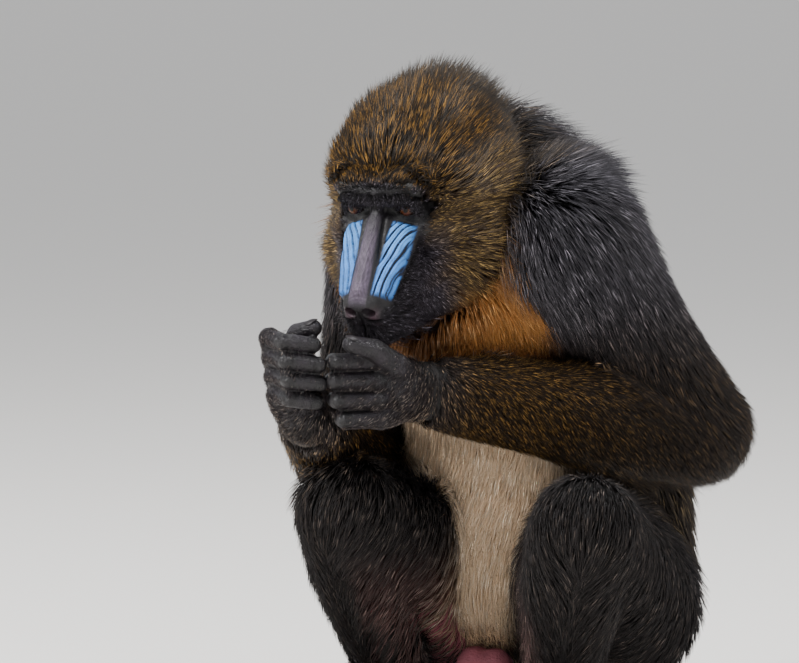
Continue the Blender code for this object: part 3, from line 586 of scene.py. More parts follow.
for way in SIDES.values():
    hole = ((side - 0.85 * way) / 0.5) ** 2 + ((forward - 13.1) / 1.0) ** 2 + ((up + 4.95) / 0.42) ** 2
    press = ramp(hole, 1.6, 0.2) * NOSTRIL_DEPTH * CM
    spots += np.array(HEAD_FRAME @ Vector((0, 1, 0.25)))[None, :] * press[:, None]
mouth = mouth_line(side, forward, up) * ramp(forward, 6.5, 8.0)
spots -= outward * (MOUTH_DEPTH * CM * mouth)[:, None]

# The lids part over each eye: the skin inside the opening drops behind the eyeball
LID_HALF_WIDTH = 1.0
LID_HALF_HEIGHT = 0.36
EYE_SLIT_DROP = 0.12
SUNK_DEPTH = 0.45
EYE_SLANT = math.radians(14)
for way in SIDES.values():
    outlook = HEAD_FRAME @ Matrix.Rotation(EYE_SLANT * way, 3, "Z")
    seen = (spots - np.array(eye_centre(way))) @ np.array(outlook) / CM
    width, depth, level = seen[:, 0], -seen[:, 1], seen[:, 2] + EYE_SLIT_DROP
    half_height = LID_HALF_HEIGHT * (1.05 - 0.25 * (width / LID_HALF_WIDTH) ** 2)
    almond = np.sqrt((width / LID_HALF_WIDTH) ** 2 + (level / half_height) ** 2)
    opening = ramp(almond, 1.06, 0.92) * (depth > 0.2) * (np.hypot(width, level) < 1.4)
    rim = bump(almond, 1.22, 0.16) * (depth > 0.2)
    spots += outward * ((0.05 + 0.12 * ramp(level, -0.1, 0.3)) * CM * rim)[:, None]
    behind = np.stack([width, -SUNK_DEPTH * np.ones_like(width), level - EYE_SLIT_DROP], 1) * CM
    sunk = np.array(eye_centre(way)) + behind @ np.array(outlook).T
    spots = spots * (1 - opening[:, None]) + sunk * opening[:, None]
head_skin.data.vertices.foreach_set("co", spots.ravel())
head_skin.data.update()


# Folds over the joints of the fingers, and gaps between them, pressed into the skin of the hands.
# Each hand's folds and gaps are kept, to be painted darker there as shade.
FOLD_DEPTH = 0.035
FINGER_GAP_DEPTH = 0.09


def finger_gaps(side_name, spots):
    """1 where two fingers of a hand meet."""
    gaps = []
    for finger in range(4):
        flesh = phalanges(finger_joints(side_name, finger))
        gaps.append(np.min([gap_to(mass, spots)[0] for mass in flesh], axis=0))
    return ramp(np.sort(gaps, axis=0)[1], 0.0030, 0.0004)


def crease_hand(side_name):
    """Presses a hand's folds and gaps into its skin, and says where they are, to be painted as shade."""
    mesh = hand_skin[side_name].data
    spots = corners(mesh)
    folds = np.zeros(len(spots))
    for finger in range(4):
        for mass in phalanges(finger_joints(side_name, finger)):
            gap, t = gap_to(mass, spots)
            from_joint = np.minimum(t, 1 - t) * (mass.b - mass.a).length / CM
            fold = (0.5 + 0.5 * np.cos(from_joint * 26)) * bump(from_joint, 0, 0.42) * ramp(gap, 0.003, 0.001)
            folds = np.maximum(folds, fold)
    between = finger_gaps(side_name, spots)
    spots -= corner_normals(mesh) * ((FOLD_DEPTH * folds + FINGER_GAP_DEPTH * between) * CM)[:, None]
    mesh.vertices.foreach_set("co", spots.ravel())
    mesh.update()
    return np.maximum(0.7 * folds, between)


hand_fold_shade = {name: crease_hand(name) for name in SIDES}


# Ears: small bare cups of gristle and dark pink skin, grown on the sides of the head. They lie back
# against it in the long cheek hair. Each is a ball pressed hollow on its outer side, with a rolled rim.
EAR_PLACE = (7.2, -1.6, 1.4)
EAR_HALF_SIZE = (0.95, 1.5, 2.1)
EAR_TURN = math.radians(-28)
EAR_TILT = math.radians(-20)
EAR_PINK = "#4a373a"


def ear(side_name):
    way = SIDES[side_name]
    turn = HEAD_FRAME @ Matrix.Rotation(way * EAR_TURN, 3, "Z") @ Matrix.Rotation(EAR_TILT, 3, "X")
    centre = on_head(EAR_PLACE[0] * way, *EAR_PLACE[1:])
    thick, long, high = EAR_HALF_SIZE
    mesh = bmesh.new()
    ball = bmesh.ops.create_icosphere(mesh, subdivisions=5, radius=1.0)
    for vertex in ball["verts"]:
        x, y, z = vertex.co
        x *= way
        hollow = math.exp(-((y - 0.08) ** 2 / 0.30 + (z - 0.05) ** 2 / 0.42)) if x > 0 else 0.0
        rim = math.exp(-((math.hypot(y, z) - 0.86) / 0.12) ** 2) if x > 0 else 0.0
        x = x * 0.62 - 0.95 * hollow * (1 - 0.2 * math.sin(z * 9)) + 0.12 * rim
        vertex.co = centre + turn @ place(way * thick * x, long * y, high * z)
    return new_object("ear_cup_" + side_name, mesh)


ears = {name: ear(name) for name in SIDES}


def paint_skin(obj, painter):
    """Stores the colours that a painter gives for an object's corners, and shades it smooth."""
    spots, normals = corners(obj.data), corner_normals(obj.data)
    tones = painter(spots, normals)
    paint = obj.data.color_attributes.new("paint", "FLOAT_COLOR", "POINT")
    paint.data.foreach_set("color", np.column_stack([tones, np.ones(len(tones))]).ravel())
    obj.data.polygons.foreach_set("use_smooth", np.ones(len(obj.data.polygons), bool))


def one_colour(hex_colour):
    """A painter of a whole skin in one colour."""
    return lambda spots, normals: np.tile(np.array(linear(hex_colour)), (len(spots), 1))


def skin_material(name, grain, depth, roughness):
    """Satin skin with fine wrinkles and pores. Grain is the size of its marks in metres.

    A live animal's bare skin has a faint oily sheen, broken by its creases, and uneven colour.
    """
    material = bpy.data.materials.new(name)
    material.use_nodes = True
    tree = material.node_tree
    shader = tree.nodes["Principled BSDF"]
    painted = add_node(tree, "ShaderNodeAttribute", {"attribute_name": "paint"})
    where = add_node(tree, "ShaderNodeTexCoord").outputs["Object"]
    cell_edges = {"feature": "DISTANCE_TO_EDGE"}
    cells = add_node(tree, "ShaderNodeTexVoronoi", cell_edges, Vector=where, Scale=1 / grain)
    folds = add_node(tree, "ShaderNodeTexNoise", Vector=where, Scale=0.4 / grain, Detail=3.0)
    add = {"operation": "MULTIPLY_ADD"}
    height = add_node(tree, "ShaderNodeMath", add, _0=cells.outputs["Distance"], _1=1.2, _2=folds.outputs[0])
    relief = add_node(tree, "ShaderNodeBump", Strength=0.6, Distance=depth, Height=height.outputs[0])
    tree.links.new(relief.outputs["Normal"], shader.inputs["Normal"])
    blotch = add_node(tree, "ShaderNodeTexNoise", Vector=where, Scale=0.12 / grain, Detail=6.0).outputs[0]
    tone = add_node(
        tree, "ShaderNodeMapRange", Value=blotch, From_Min=0.3, From_Max=0.7, To_Min=0.7, To_Max=1.3
    ).outputs[0]
    scale = {"operation": "SCALE"}
    mottled = add_node(tree, "ShaderNodeVectorMath", scale, _0=painted.outputs["Color"], Scale=tone)
    tree.links.new(mottled.outputs[0], shader.inputs["Base Color"])
    shader.inputs["Roughness"].default_value = roughness
    shader.inputs["Specular IOR Level"].default_value = 0.38
    return material


def stand_in(piece, slot, *nodes):
    """The piece rides on the body and shows in place of the nodes. The slot is not used."""
    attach(piece, "root")
    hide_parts(*nodes)


face_skin = skin_material("bare_face_skin", grain=0.0014, depth=0.0007, roughness=0.52)
for name, piece in ears.items():
    paint_skin(piece, one_colour(EAR_PINK))
    piece.data.materials.append(face_skin)
    stand_in(piece, "pink_skin", "ear_" + name)


# The coat: guard hairs of keratin over short down, rooted in the skin of the whole body. They grow
# from a surface that is measured for roots only, up to a second one at the coat's full depth. Each
# region of the roots' surface is unwrapped by itself, so that every tuft has its own place on the map.
REGIONS = (
    "crown", "cheeks", "throat", "mantle", "back", "belly", "upper_arm_left", "forearm_left", "arm_right",
    "leg_left", "leg_right", "face", "hands", "feet",
)
HAIRS = (
    "head", "nape", "mantle", "back", "rump", "chest", "tail", "upper_arm", "forearm", "hand", "thigh",
    "shank", "foot", "bare",
)
FOLLICLE_VOXEL, OUTLINE_VOXEL = 0.006, 0.008
KIND_BLEND = 0.007
all_masses = trunk + limbs + head + [mass for side in SIDES for mass in hands[side] + feet[side]]
follicles = fuse("follicles", all_masses, FOLLICLE_VOXEL, 3)
coat_outline = fuse("coat_outline", all_masses, OUTLINE_VOXEL, 3, fill=1)


def unit(ways):
    """The ways at a length of 1."""
    return ways / np.maximum(np.linalg.norm(ways, axis=-1, keepdims=True), 1e-9)


def flat_on(ways, normals):
    """The ways laid flat on the surface whose normals are given."""
    return unit(ways - normals * np.sum(ways * normals, axis=1, keepdims=True))


def hair_shares(spots):
    """How much of each kind of hair grows at each point, and the depth of the coat there in metres."""
    shares = np.zeros((len(spots), len(HAIRS)))
    depth = np.zeros(len(spots))
    for mass in all_masses:
        gap, t = gap_to(mass, spots)
        weight = np.exp(-np.clip(gap, -0.02, 0.2) / KIND_BLEND)
        shares[:, HAIRS.index(mass.hair)] += weight
        depth += weight * (mass.coat + t * (mass.end_coat - mass.coat))
    total = shares.sum(axis=1)
    return shares / total[:, None], depth / total


def share_of(shares, *names):
    """The named kinds' part of the hair, 0 to 1."""
    return sum(shares[:, HAIRS.index(name)] for name in names)


def lie_at(spots, normals, shares):
    """The way the hair lies, flat on the surface."""
    lie = np.zeros_like(spots)

    def add(name, ways):
        nonlocal lie
        lie += shares[:, HAIRS.index(name)][:, None] * ways

    def towards(*way):
        return np.tile(unit(np.array(way, float)), (len(spots), 1))

    outside = np.sign(spots[:, 0] + 0.012)
    level = np.zeros(len(spots))
    from_face = unit(spots - np.array(on_head(0, 5.8, -0.3)))
    add("head", from_face + np.array(HEAD_FRAME) @ np.array((0, 0.38, 0.0)))
    from_crown = unit(spots - np.array(place(-1.8, -10, 51)))
    add("nape", from_crown * 0.8 + np.array((0, 0.5, -0.7)))
    add("mantle", from_crown * 1.3 + np.stack([0.25 * outside, level + 0.35, level - 1], 1))
    to_middle = -3.0 * (spots[:, 0] + 0.01) * (normals[:, 1] < 0)
    add("back", np.stack([to_middle, level + 0.1, level - 1], 1))
    add("rump", towards(0, 0.4, -1))
    add("chest", towards(0, 0.15, -1))
    add("tail", towards(0, 0.7, 0.7))
    add("shank", towards(0, -0.45, -1.6))
    add("foot", towards(0, -1, -0.3))
    left = (spots[:, 0] > -0.03)[:, None]
    knuckles = {side: HAND[side]["knuckles"] for side in SIDES}
    for name, start, end, sag in (
        ("upper_arm", SHOULDER, ELBOW, 0.35),
        ("forearm", WRIST, ELBOW, 1.0),
        ("hand", WRIST, knuckles, 0.8),
        ("thigh", HIP, KNEE, 1.2),
    ):
        ways = [unit(np.array(end[side] - start[side])) for side in SIDES]
        add(name, np.where(left, ways[0], ways[1]) + np.array((0, 0, -sag)))
    add("bare", towards(0, 0, -1))
    return flat_on(lie, normals)


def belly_share(spots, normals):
    """1 on the pale strip down the middle of the belly."""
    x, z = spots[:, 0] / CM + 1.2, spots[:, 2] / CM
    half = np.interp(z, (8, 14, 22, 30, 37), (2.5, 4.5, 7.0, 7.5, 6.0))
    strip = ramp(np.abs(x), half + 1.0, half - 1.0) * ramp(z, 34, 31) * ramp(z, 7, 10)
    return strip * ramp(normals[:, 1], 0.15, -0.2) * (spots[:, 1] < 0)


def groin_share(spots, normals):
    """1 on the nearly bare pink skin between the thighs."""
    x, z = spots[:, 0] / CM + 1.0, spots[:, 2] / CM
    return ramp(np.abs(x), 9.5, 6.0) * ramp(z, 13.5, 9.5) * ramp(normals[:, 1], 0.2, -0.2) * (spots[:, 1] < 0)


def rump_share(spots, normals):
    """1 on the bare skin around the root of the tail and on the pads it sits on."""
    x, z = spots[:, 0] / CM, spots[:, 2] / CM
    reach = np.hypot(x / 5.5, (z - 6.5) / 6.0)
    return ramp(reach, 1.15, 0.85) * ramp(normals[:, 1], 0.25, 0.55)


def region_at(spots, normals, shares):
    """The number of the region each point belongs to."""
    side, forward, up = head_local(spots)
    left = spots[:, 0] > -0.01
    on_head_skin = share_of(shares, "head") > 0.5
    arm = share_of(shares, "upper_arm", "forearm") > 0.5
    leg = share_of(shares, "thigh", "shank") > 0.5
    below_head = spots[:, 2] < 0.41
    region = np.full(len(spots), REGIONS.index("back"))
    for name, there in (
        ("belly", (normals[:, 1] < 0.0) & (spots[:, 1] < -0.03)),
        ("mantle", share_of(shares, "mantle", "nape") > 0.45),
        ("throat", (share_of(shares, "chest") > 0.4) & (normals[:, 1] < 0.2)),
        ("cheeks", on_head_skin),
        ("crown", on_head_skin & (up > 3.0)),
        ("face", on_head_skin & (bare_edge(side, forward, up) < 0.25) & (forward > 4.5)),
        ("arm_right", arm),
        ("upper_arm_left", arm & left),
        ("forearm_left", arm & left & (share_of(shares, "forearm") > 0.5)),
        ("leg_left", leg & left),
        ("leg_right", leg & ~left),
        ("hands", (share_of(shares, "hand") > 0.5) & below_head),
        ("feet", (share_of(shares, "foot") > 0.5) & below_head),
    ):
        region[there] = REGIONS.index(name)
    return region


polygons = follicles.data.polygons
middles = read(polygons, "center", 3)
regions = region_at(middles, read(polygons, "normal", 3), hair_shares(middles)[0])
bpy.context.view_layer.objects.active = follicles
follicles.data.uv_layers.new(name="OFBake")
for index in range(len(REGIONS)):
    polygons.foreach_set("select", regions == index)
    bpy.ops.object.mode_set(mode="EDIT")
    bpy.ops.uv.smart_project(angle_limit=math.radians(66), island_margin=0.01)
    bpy.ops.object.mode_set(mode="OBJECT")
follicles.data.calc_loop_triangles()
triangles = follicles.data.loop_triangles
loops = read(triangles, "loops", 3, int)
vertices = read(follicles.data.loops, "vertex_index", 1, int)[loops]
tri_area = read(triangles, "area")
tri_uv = read(follicles.data.uv_layers["OFBake"].data, "uv", 2)[loops]
tri_corners = corners(follicles.data)[vertices]
tri_normals = corner_normals(follicles.data)[vertices]
tri_region = regions[read(triangles, "polygon_index", 1, int)]


def tree_of(*objects):
    """A search tree of the objects' faces."""
    spots, faces = [], []
    for obj in objects:
        faces += [[i + len(spots) for i in p.vertices] for p in obj.data.polygons]
        spots += corners(obj.data).tolist()
    return BVHTree.FromPolygons(spots, faces)


surface, outline = tree_of(follicles), tree_of(coat_outline)
bare_surface = {
    "face": tree_of(head_skin), "hands": tree_of(*hand_skin.values()), "feet": tree_of(*foot_skin.values()),
}


# Colours of the hair from root to tip, and of the pale bands that make the golden flecks of the crown
# and the forearms. Each kind of coat: root, middle, tip, fleck, and the share of hairs with a fleck.
COLOURS = {
    "crown": ("#0d0906", "#181008", "#1f160b", "#7a5824", 0.44),
    "nape": ("#100d0b", "#1e1814", "#2f2720", "#5b4a31", 0.32),
    "cheek": ("#1a140f", "#382b1f", "#47392a", "#92784a", 0.50),
    "muzzle": ("#0c0a0d", "#1c181c", "#3d3740", "#7a747e", 0.18),
    "throat": ("#55331b", "#945f2f", "#ab753d", "#c29259", 0.35),
    # The mantle's grey tips and grey flecks are partly the coat's own colour and partly painted sheen.
    "mantle": ("#100f11", "#252328", "#464449", "#716d74", 0.32),
    "back": ("#0e0c0b", "#1f1a17", "#362e27", "#65563f", 0.28),
    "arm": ("#0f0b08", "#22180f", "#322413", "#8d6a34", 0.50),
    "elbow": ("#0c0908", "#171210", "#271e17", "#523f26", 0.30),
    "belly": ("#a1846a", "#caab89", "#e3ccb0", "#f3e6d2", 0.20),
    "leg": ("#0c0a0a", "#161313", "#272222", "#4e4540", 0.22),
    "inner": ("#54322f", "#4c3835", "#413432", "#76605a", 0.25),
    "hand": ("#0f0c0e", "#231d1f", "#413a3b", "#8d837c", 0.30),
}
PALETTE = {name: ([np.array(linear(c)) for c in row[:4]], row[4]) for name, row in COLOURS.items()}


def coat_colours(spots, normals, shares):
    """The shares of the coat's colours at each point."""
    side, forward, up = head_local(spots)
    head_share = share_of(shares, "head") + share_of(shares, "nape") * ramp(forward, -9, -5)
    edge = bare_edge(side, forward, up)
    muzzle = np.maximum(ramp(edge, 1.3, 0.3) * ramp(up, 1.0, -1.5), ramp(edge, 0.35, 0.1))
    muzzle = np.maximum(muzzle, ramp(forward, 5.0, 7.5) * ramp(up, -2.5, -4.0))
    gold = ramp(up - 0.25 * np.abs(side), 0.6, 3.2) * ramp(forward, -7.5, -2.5)
    dark = ramp(forward, 0.0, -4.5)
    beard = ramp(up, -4.5, -7.0) * ramp(forward, 6.5, 3.5)
    belly = belly_share(spots, normals)
    x, z = spots[:, 0] / CM, spots[:, 2] / CM
    amber = share_of(shares, "chest") * ramp(z, 33, 37) * ramp(normals[:, 1], 0.3, -0.1)
    for way in SIDES.values():
        behind_jaw = Mass("chest", on_head(4.5 * way, 1.0, -7.5), on_head(6.6 * way, -4.3, -5.5), 2.0)
        amber = np.maximum(amber, ramp(gap_to(behind_jaw, spots)[0], 0.02, 0.0) * (1 - ramp(edge, 2.5, 1.0)))
    mix = {}
    mix["muzzle"] = head_share * muzzle
    beard = np.maximum(beard, 0.85 * amber * ramp(up, -0.5, -2.5))
    mix["throat"] = head_share * (1 - muzzle) * beard + (1 - head_share) * amber
    rest = head_share * (1 - muzzle) * (1 - beard)
    mix["nape"] = rest * dark
    mix["crown"] = rest * (1 - dark) * gold
    mix["cheek"] = rest * (1 - dark) * (1 - gold)
    body = (1 - head_share) * (1 - amber)
    to_wrist = np.min([np.linalg.norm(spots - np.array(WRIST[name]), axis=1) for name in SIDES], axis=0) / CM
    forearm, upper_arm = share_of(shares, "forearm"), share_of(shares, "upper_arm")
    wrist = forearm * ramp(to_wrist, 24, 8)
    mix["arm"] = body * wrist
    mix["elbow"] = body * (forearm - wrist + 0.9 * upper_arm * ramp(z, 45, 33))
    mix["hand"] = body * share_of(shares, "hand", "foot", "bare")
    thigh = body * share_of(shares, "thigh", "shank")
    from_middle = x + 1.2
    inner = ramp(-normals[:, 0] * np.sign(from_middle), 0.35, 0.8) * ramp(z, 20, 12)
    inner *= ramp(np.abs(from_middle), 13, 9)
    mix["inner"] = thigh * inner
    mix["leg"] = thigh * (1 - inner)
    left_over = np.clip(body - sum(mix[name] for name in ("arm", "elbow", "hand", "inner", "leg")), 0, 1)
    mix["belly"] = left_over * belly
    mix["back"] = left_over * (1 - belly) * share_of(shares, "back", "rump", "tail")
    mix["mantle"] = left_over * (1 - belly) - mix["back"]
    return mix


# Each region of the coat: how many tufts, their width at the root in millimetres, how much they
# bunch, how straight they rise (0 bends over, 1 stands straight), and the least share of the coat's
# depth that they reach. A tuft bends once, where it is thickest.
BEND = 0.45
COATS = {
    "crown": (26000, 0.9, 0.20, 0.8, 0.70),
    "cheeks": (29000, 0.9, 0.25, 0.8, 0.80),
    "throat": (16000, 0.9, 0.20, 0.5, 0.60),
    "mantle": (28000, 1.15, 0.22, 0.4, 0.75),
    "back": (17500, 1.5, 0.30, 0.2, 0.50),
    "belly": (19000, 0.75, 0.12, 0.1, 0.40),
    "upper_arm_left": (12500, 1.2, 0.20, 0.3, 0.50),
    "forearm_left": (30500, 0.68, 0.15, 0.4, 0.50),
    "arm_right": (11500, 1.1, 0.20, 0.4, 0.50),
    "leg_left": (14000, 1.15, 0.20, 0.2, 0.50),
    "leg_right": (14000, 1.15, 0.20, 0.2, 0.50),
    "face": (17000, 0.4, 0.20, 0.5, 0.50),
    "hands": (11000, 0.34, 0.15, 0.2, 0.60),
    "feet": (3500, 0.6, 0.15, 0.4, 0.60),
}
# Lengths of the kinds of hair in centimetres. On the head they grow from the bare face outwards.
LENGTHS = {
    "head": 4.8, "nape": 6.0, "mantle": 6.0, "back": 5.0, "rump": 4.5, "chest": 4.5, "tail": 2.5,
    "upper_arm": 4.0, "forearm": 2.3, "hand": 1.4, "thigh": 3.8, "shank": 3.2, "foot": 0.9, "bare": 0.5,
}
FACE_EDGE_LENGTH = 0.5
LENGTH_RISE = 1.9
WHISKER_LENGTH, WHISKER_SHARE = 0.038, 0.035
ROOT_DEPTH = 0.0012
LOWEST_HAIR = 0.0022
HAIRS_A_LOCK = 11
LOCK_REACH = (0.016, 0.004)
# Spreads of the draws: of a tuft's length, its height and its width, as shares, and of its lie sideways
LENGTH_SPREAD, WIDTH_SPREAD = (0.75, 1.12), (0.7, 1.25)
HIGHEST_HAIR = 1.08
ROOT_STRAY, BEND_STRAY, FACE_STRAY = 0.13, 0.1, 0.3
# Spreads of a tuft's tone, of its fleck's tone, and of the fleck's place along it
TONE_SPREAD, BELLY_TONE_SPREAD, FLECK_SPREAD, BAND_SPREAD = 0.24, 0.12, 0.42, 0.07
# How far short hair may move from the measured surface to the bare skin, in metres
FACE_SHIFT, LIMB_SHIFT = 0.009, 0.0035
draw = np.random.default_rng(11)


def hair_chance(name, spots, normals):
    """How densely the tufts stand."""
    shares, _ = hair_shares(spots)
    side, forward, up = head_local(spots)
    head_share = share_of(shares, "head")
    edge = bare_edge(side, forward, up)
    if name == "face":
        return face_hair(side, forward, up)[0]
    chance = ramp(edge, -0.1, 0.3) * head_share + (1 - head_share)
    chance *= 1 + 2.0 * head_share * ramp(edge, 3.0, 0.5)
    chance *= 1 - share_of(shares, "bare") ** 0.5
    chance *= (1 - rump_share(spots, normals)) * (1 - 0.75 * groin_share(spots, normals))
    chance *= 1 - 0.55 * coat_colours(spots, normals, shares)["inner"]
    return chance * ~((normals[:, 2] < -0.7) & (spots[:, 2] < 0.02))


def face_hair(side, forward, up):
    """Short hair of the face: its density, its length in centimetres, and its lie on the head."""
    along, rise = along_muzzle(forward, up)
    across, _ = ridge_place(side, along)
    outside = np.sign(side)
    brow = bump(along, 0.1, 0.9) * ramp(forward, 6.0, 6.5) * ramp(np.abs(side), 4.6, 4.2)
    beside = np.maximum(ramp(across, 1.02, 1.25), ramp(rise, -0.35, -0.9)) * ramp(along, 1.5, 2.5)
    below = ramp(along, 9.4, 9.9) * ramp(up, -4.6, -5.4) + ramp(up, -5.5, -6.4)
    low = np.clip(beside + below * ramp(forward, 8.0, 9.0), 0, 1)
    nostril = np.hypot(side - 0.85 * outside, up + 4.95) < 0.7
    density = np.clip(5.0 * brow + 2.2 * low * ~nostril, 0, 5) * ramp(forward, 4.6, 5.4)
    hang = ramp(up, 4.4, 3.8)
    length = (0.7 + 0.25 * hang) * brow + (0.9 + 0.6 * ramp(across, 1.1, 1.8)) * low + 0.1
    lie = np.stack([
        outside * (0.25 + 0.25 * low),
        brow * (0.2 - 1.0 * hang) + low * 1.0,
        brow * (0.9 - 2.2 * hang) - low * 0.55,
    ], 1)
    return density, length * CM, lie @ np.array(HEAD_FRAME).T


def sow(name, count):
    """Picks roots on one region, with the surface's normal and the place on the map at each."""
    mine = np.flatnonzero(tri_region == REGIONS.index(name))
    chance = hair_chance(name, tri_corners[mine].mean(axis=1), unit(tri_normals[mine].mean(axis=1)))
    edges = np.cumsum(tri_area[mine] * chance)
    chosen = mine[np.searchsorted(edges, draw.random(count) * edges[-1])]
    u, v = draw.random((2, count))
    over = u + v > 1
    u[over], v[over] = 1 - u[over], 1 - v[over]
    spread = np.stack([1 - u - v, u, v], 1)[:, :, None]
    of_corners = (tri_corners, tri_normals, tri_uv)
    roots, normals, home = ((values[chosen] * spread).sum(axis=1) for values in of_corners)
    return roots, unit(normals), home


def nearest(tree, spots):
    """The nearest places of a surface, its normals there, and the distances."""
    found = [tree.find_nearest(spot) for spot in spots.tolist()]
    return tuple(np.array([hit[item] for hit in found]) for item in (0, 1, 3))


def comb(name, roots, normals, tree):
    """The path of each tuft over the surface, its length, and its root's kinds of hair."""
    _, _, _, standing, low_hairs = COATS[name]
    count = len(roots)
    shares, soft_depth = hair_shares(roots)
    side, forward, up = head_local(roots)
    length = sum(shares[:, i] * LENGTHS[hair] for i, hair in enumerate(HAIRS)) * CM
    if name == "face":
        _, length, lie = face_hair(side, forward, up)
        lie = flat_on(lie, normals)
        whisker = (draw.random(count) < WHISKER_SHARE) & (forward > 8.5) & (up < -4.0)
        length = np.where(whisker, WHISKER_LENGTH, length)
        depth = (0.5 + 0.4 * bump(up, 3.8, 0.5)) * length
        lie = unit(lie + np.cross(normals, lie) * draw.normal(0, FACE_STRAY, count)[:, None])
    else:
        off_face = np.clip(bare_edge(side, forward, up), 0, 20)
        on_the_head = share_of(shares, "head") > 0.3
        longest = (FACE_EDGE_LENGTH + LENGTH_RISE * off_face ** 0.9) * CM
        length = np.where(on_the_head, np.minimum(length, longest), length)
        depth = np.clip(nearest(outline, roots)[2], 0.12 * CM, 1.8 * soft_depth + 0.004)
        long_enough = (off_face > 2.0) | ~on_the_head
        length = np.where(long_enough, np.maximum(length, depth * np.where(on_the_head, 1.25, 1.5)), length)
        lie = lie_at(roots, normals, shares)
        depth *= 0.5 if name == "hands" else 1.0
    length = length * draw.uniform(*LENGTH_SPREAD, count)
    reach = np.minimum(depth * draw.uniform(low_hairs, HIGHEST_HAIR, count), length * 0.93)
    run = np.sqrt(length ** 2 - reach ** 2)
    lie = unit(lie + np.cross(normals, lie) * draw.normal(0, ROOT_STRAY, count)[:, None])
    path = [roots - normals * ROOT_DEPTH]
    here = path[0]
    for t, stretch in ((BEND, BEND), (1.0, 1 - BEND)):
        rise = reach * (standing * t + (1 - standing) * (1 - (1 - t) ** 2.8))
        ahead = here + lie * (run * stretch)[:, None]
        ground, out, _ = nearest(tree, ahead)
        level = np.sum((ahead - ground) * out, axis=1)
        wanted = np.clip(level + reach * 0.3, rise * 0.85, rise * 1.15)
        here = ahead + out * (wanted - level)[:, None]
        here[:, 2] = np.maximum(here[:, 2], LOWEST_HAIR)
        path.append(here)
        if t < 1 and name not in bare_surface:
            onward = lie_at(ground, out, hair_shares(ground)[0])
            stray = np.cross(out, lie) * draw.normal(0, BEND_STRAY, count)[:, None]
            lie = flat_on(0.5 * unit(here - path[0]) + 0.5 * onward + stray, out)
    return np.stack(path, axis=1), length, shares


def bunch(path, amount):
    """Draws neighbours towards a leader's tip, as hairs gather in locks."""
    count = len(path)
    leaders = draw.choice(count, count // HAIRS_A_LOCK, replace=False)
    tree = KDTree(len(leaders))
    for index, leader in enumerate(leaders.tolist()):
        tree.insert(path[leader, 0], index)
    tree.balance()
    near = [tree.find(spot)[1:] for spot in path[:, 0].tolist()]
    leader = leaders[[index for index, _ in near]]
    pull = amount * draw.uniform(0.5, 1.5, count) * ramp(np.array([gap for _, gap in near]), *LOCK_REACH)
    for step, t in ((1, BEND), (2, 1.0)):
        share = np.clip(pull * t ** 1.4, 0, 0.9)[:, None]
        path[:, step] += (path[leader, step] - path[:, step]) * share


# A tuft is a closed spindle: a pointed root, three corners at the bend, and a pointed tip. Its corners
# at the bend are given across and up, in widths, and its patch on the map in metres.
TUFT_BEND = ((-0.5, -0.15), (0.5, -0.15), (0.0, 0.35))
TUFT_FACES = ((2, 1, 0), (3, 2, 0), (1, 3, 0), (1, 2, 4), (2, 3, 4), (3, 1, 4))
TUFT_CORNERS = 5
TUFT_PATCH = ((0, -0.5), (-0.5, 0), (0.5, 0), (0.1, 0.1), (0, 0.5))
PATCH_SIZE = 0.003
LOWEST_CORNER = 0.0003


def strands(name, path, normals, width, rows, bands, home):
    """A mesh of tufts along the paths."""
    count = len(path)
    onward = unit(path[:, 2] - path[:, 0])
    aside = unit(np.cross(normals, onward) + 1e-6)
    upward = np.cross(onward, aside)
    verts = np.empty((count, TUFT_CORNERS, 3))
    tones = np.ones((count, TUFT_CORNERS, 4))
    verts[:, 0], verts[:, 4] = path[:, 0], path[:, 2]
    tones[:, 0, :3], tones[:, 4, :3] = rows[0], rows[2]
    for corner, (x, y) in enumerate(TUFT_BEND):
        verts[:, corner + 1] = path[:, 1] + (aside * x + upward * y) * width[:, None]
        tones[:, corner + 1, :3] = rows[1] * (1 + 0.12 * (corner - 1))
    verts[:, :, 2] = np.maximum(verts[:, :, 2], LOWEST_CORNER)
    pattern = np.array(TUFT_FACES).ravel()
    indices = (pattern[None, :] + (np.arange(count) * TUFT_CORNERS)[:, None]).ravel()
    data = bpy.data.meshes.new(name)
    data.vertices.add(count * TUFT_CORNERS)
    data.vertices.foreach_set("co", verts.ravel())
    data.loops.add(len(indices))
    data.loops.foreach_set("vertex_index", indices)
    data.polygons.add(len(indices) // 3)
    data.polygons.foreach_set("loop_start", np.arange(0, len(indices), 3))
    data.polygons.foreach_set("use_smooth", np.ones(len(indices) // 3, bool))
    data.update(calc_edges=True)
    reached = np.array((0, BEND, BEND, BEND, 1)) + draw.normal(0, BAND_SPREAD, (count, 1))
    for layer, colours in (("coat", tones), ("fleck", np.repeat(bands, TUFT_CORNERS, 0))):
        data.color_attributes.new(layer, "FLOAT_COLOR", "POINT").data.foreach_set("color", colours.ravel())
    data.attributes.new("along", "FLOAT", "POINT").data.foreach_set("value", reached.ravel())
    patch = PATCH_SIZE * np.array(TUFT_PATCH)[pattern]
    data.uv_layers.new(name="OFBake").data.foreach_set("uv", (home[:, None, :] + patch[None]).ravel())
    obj = bpy.data.objects.new(name, data)
    bpy.context.scene.collection.objects.link(obj)
    return obj


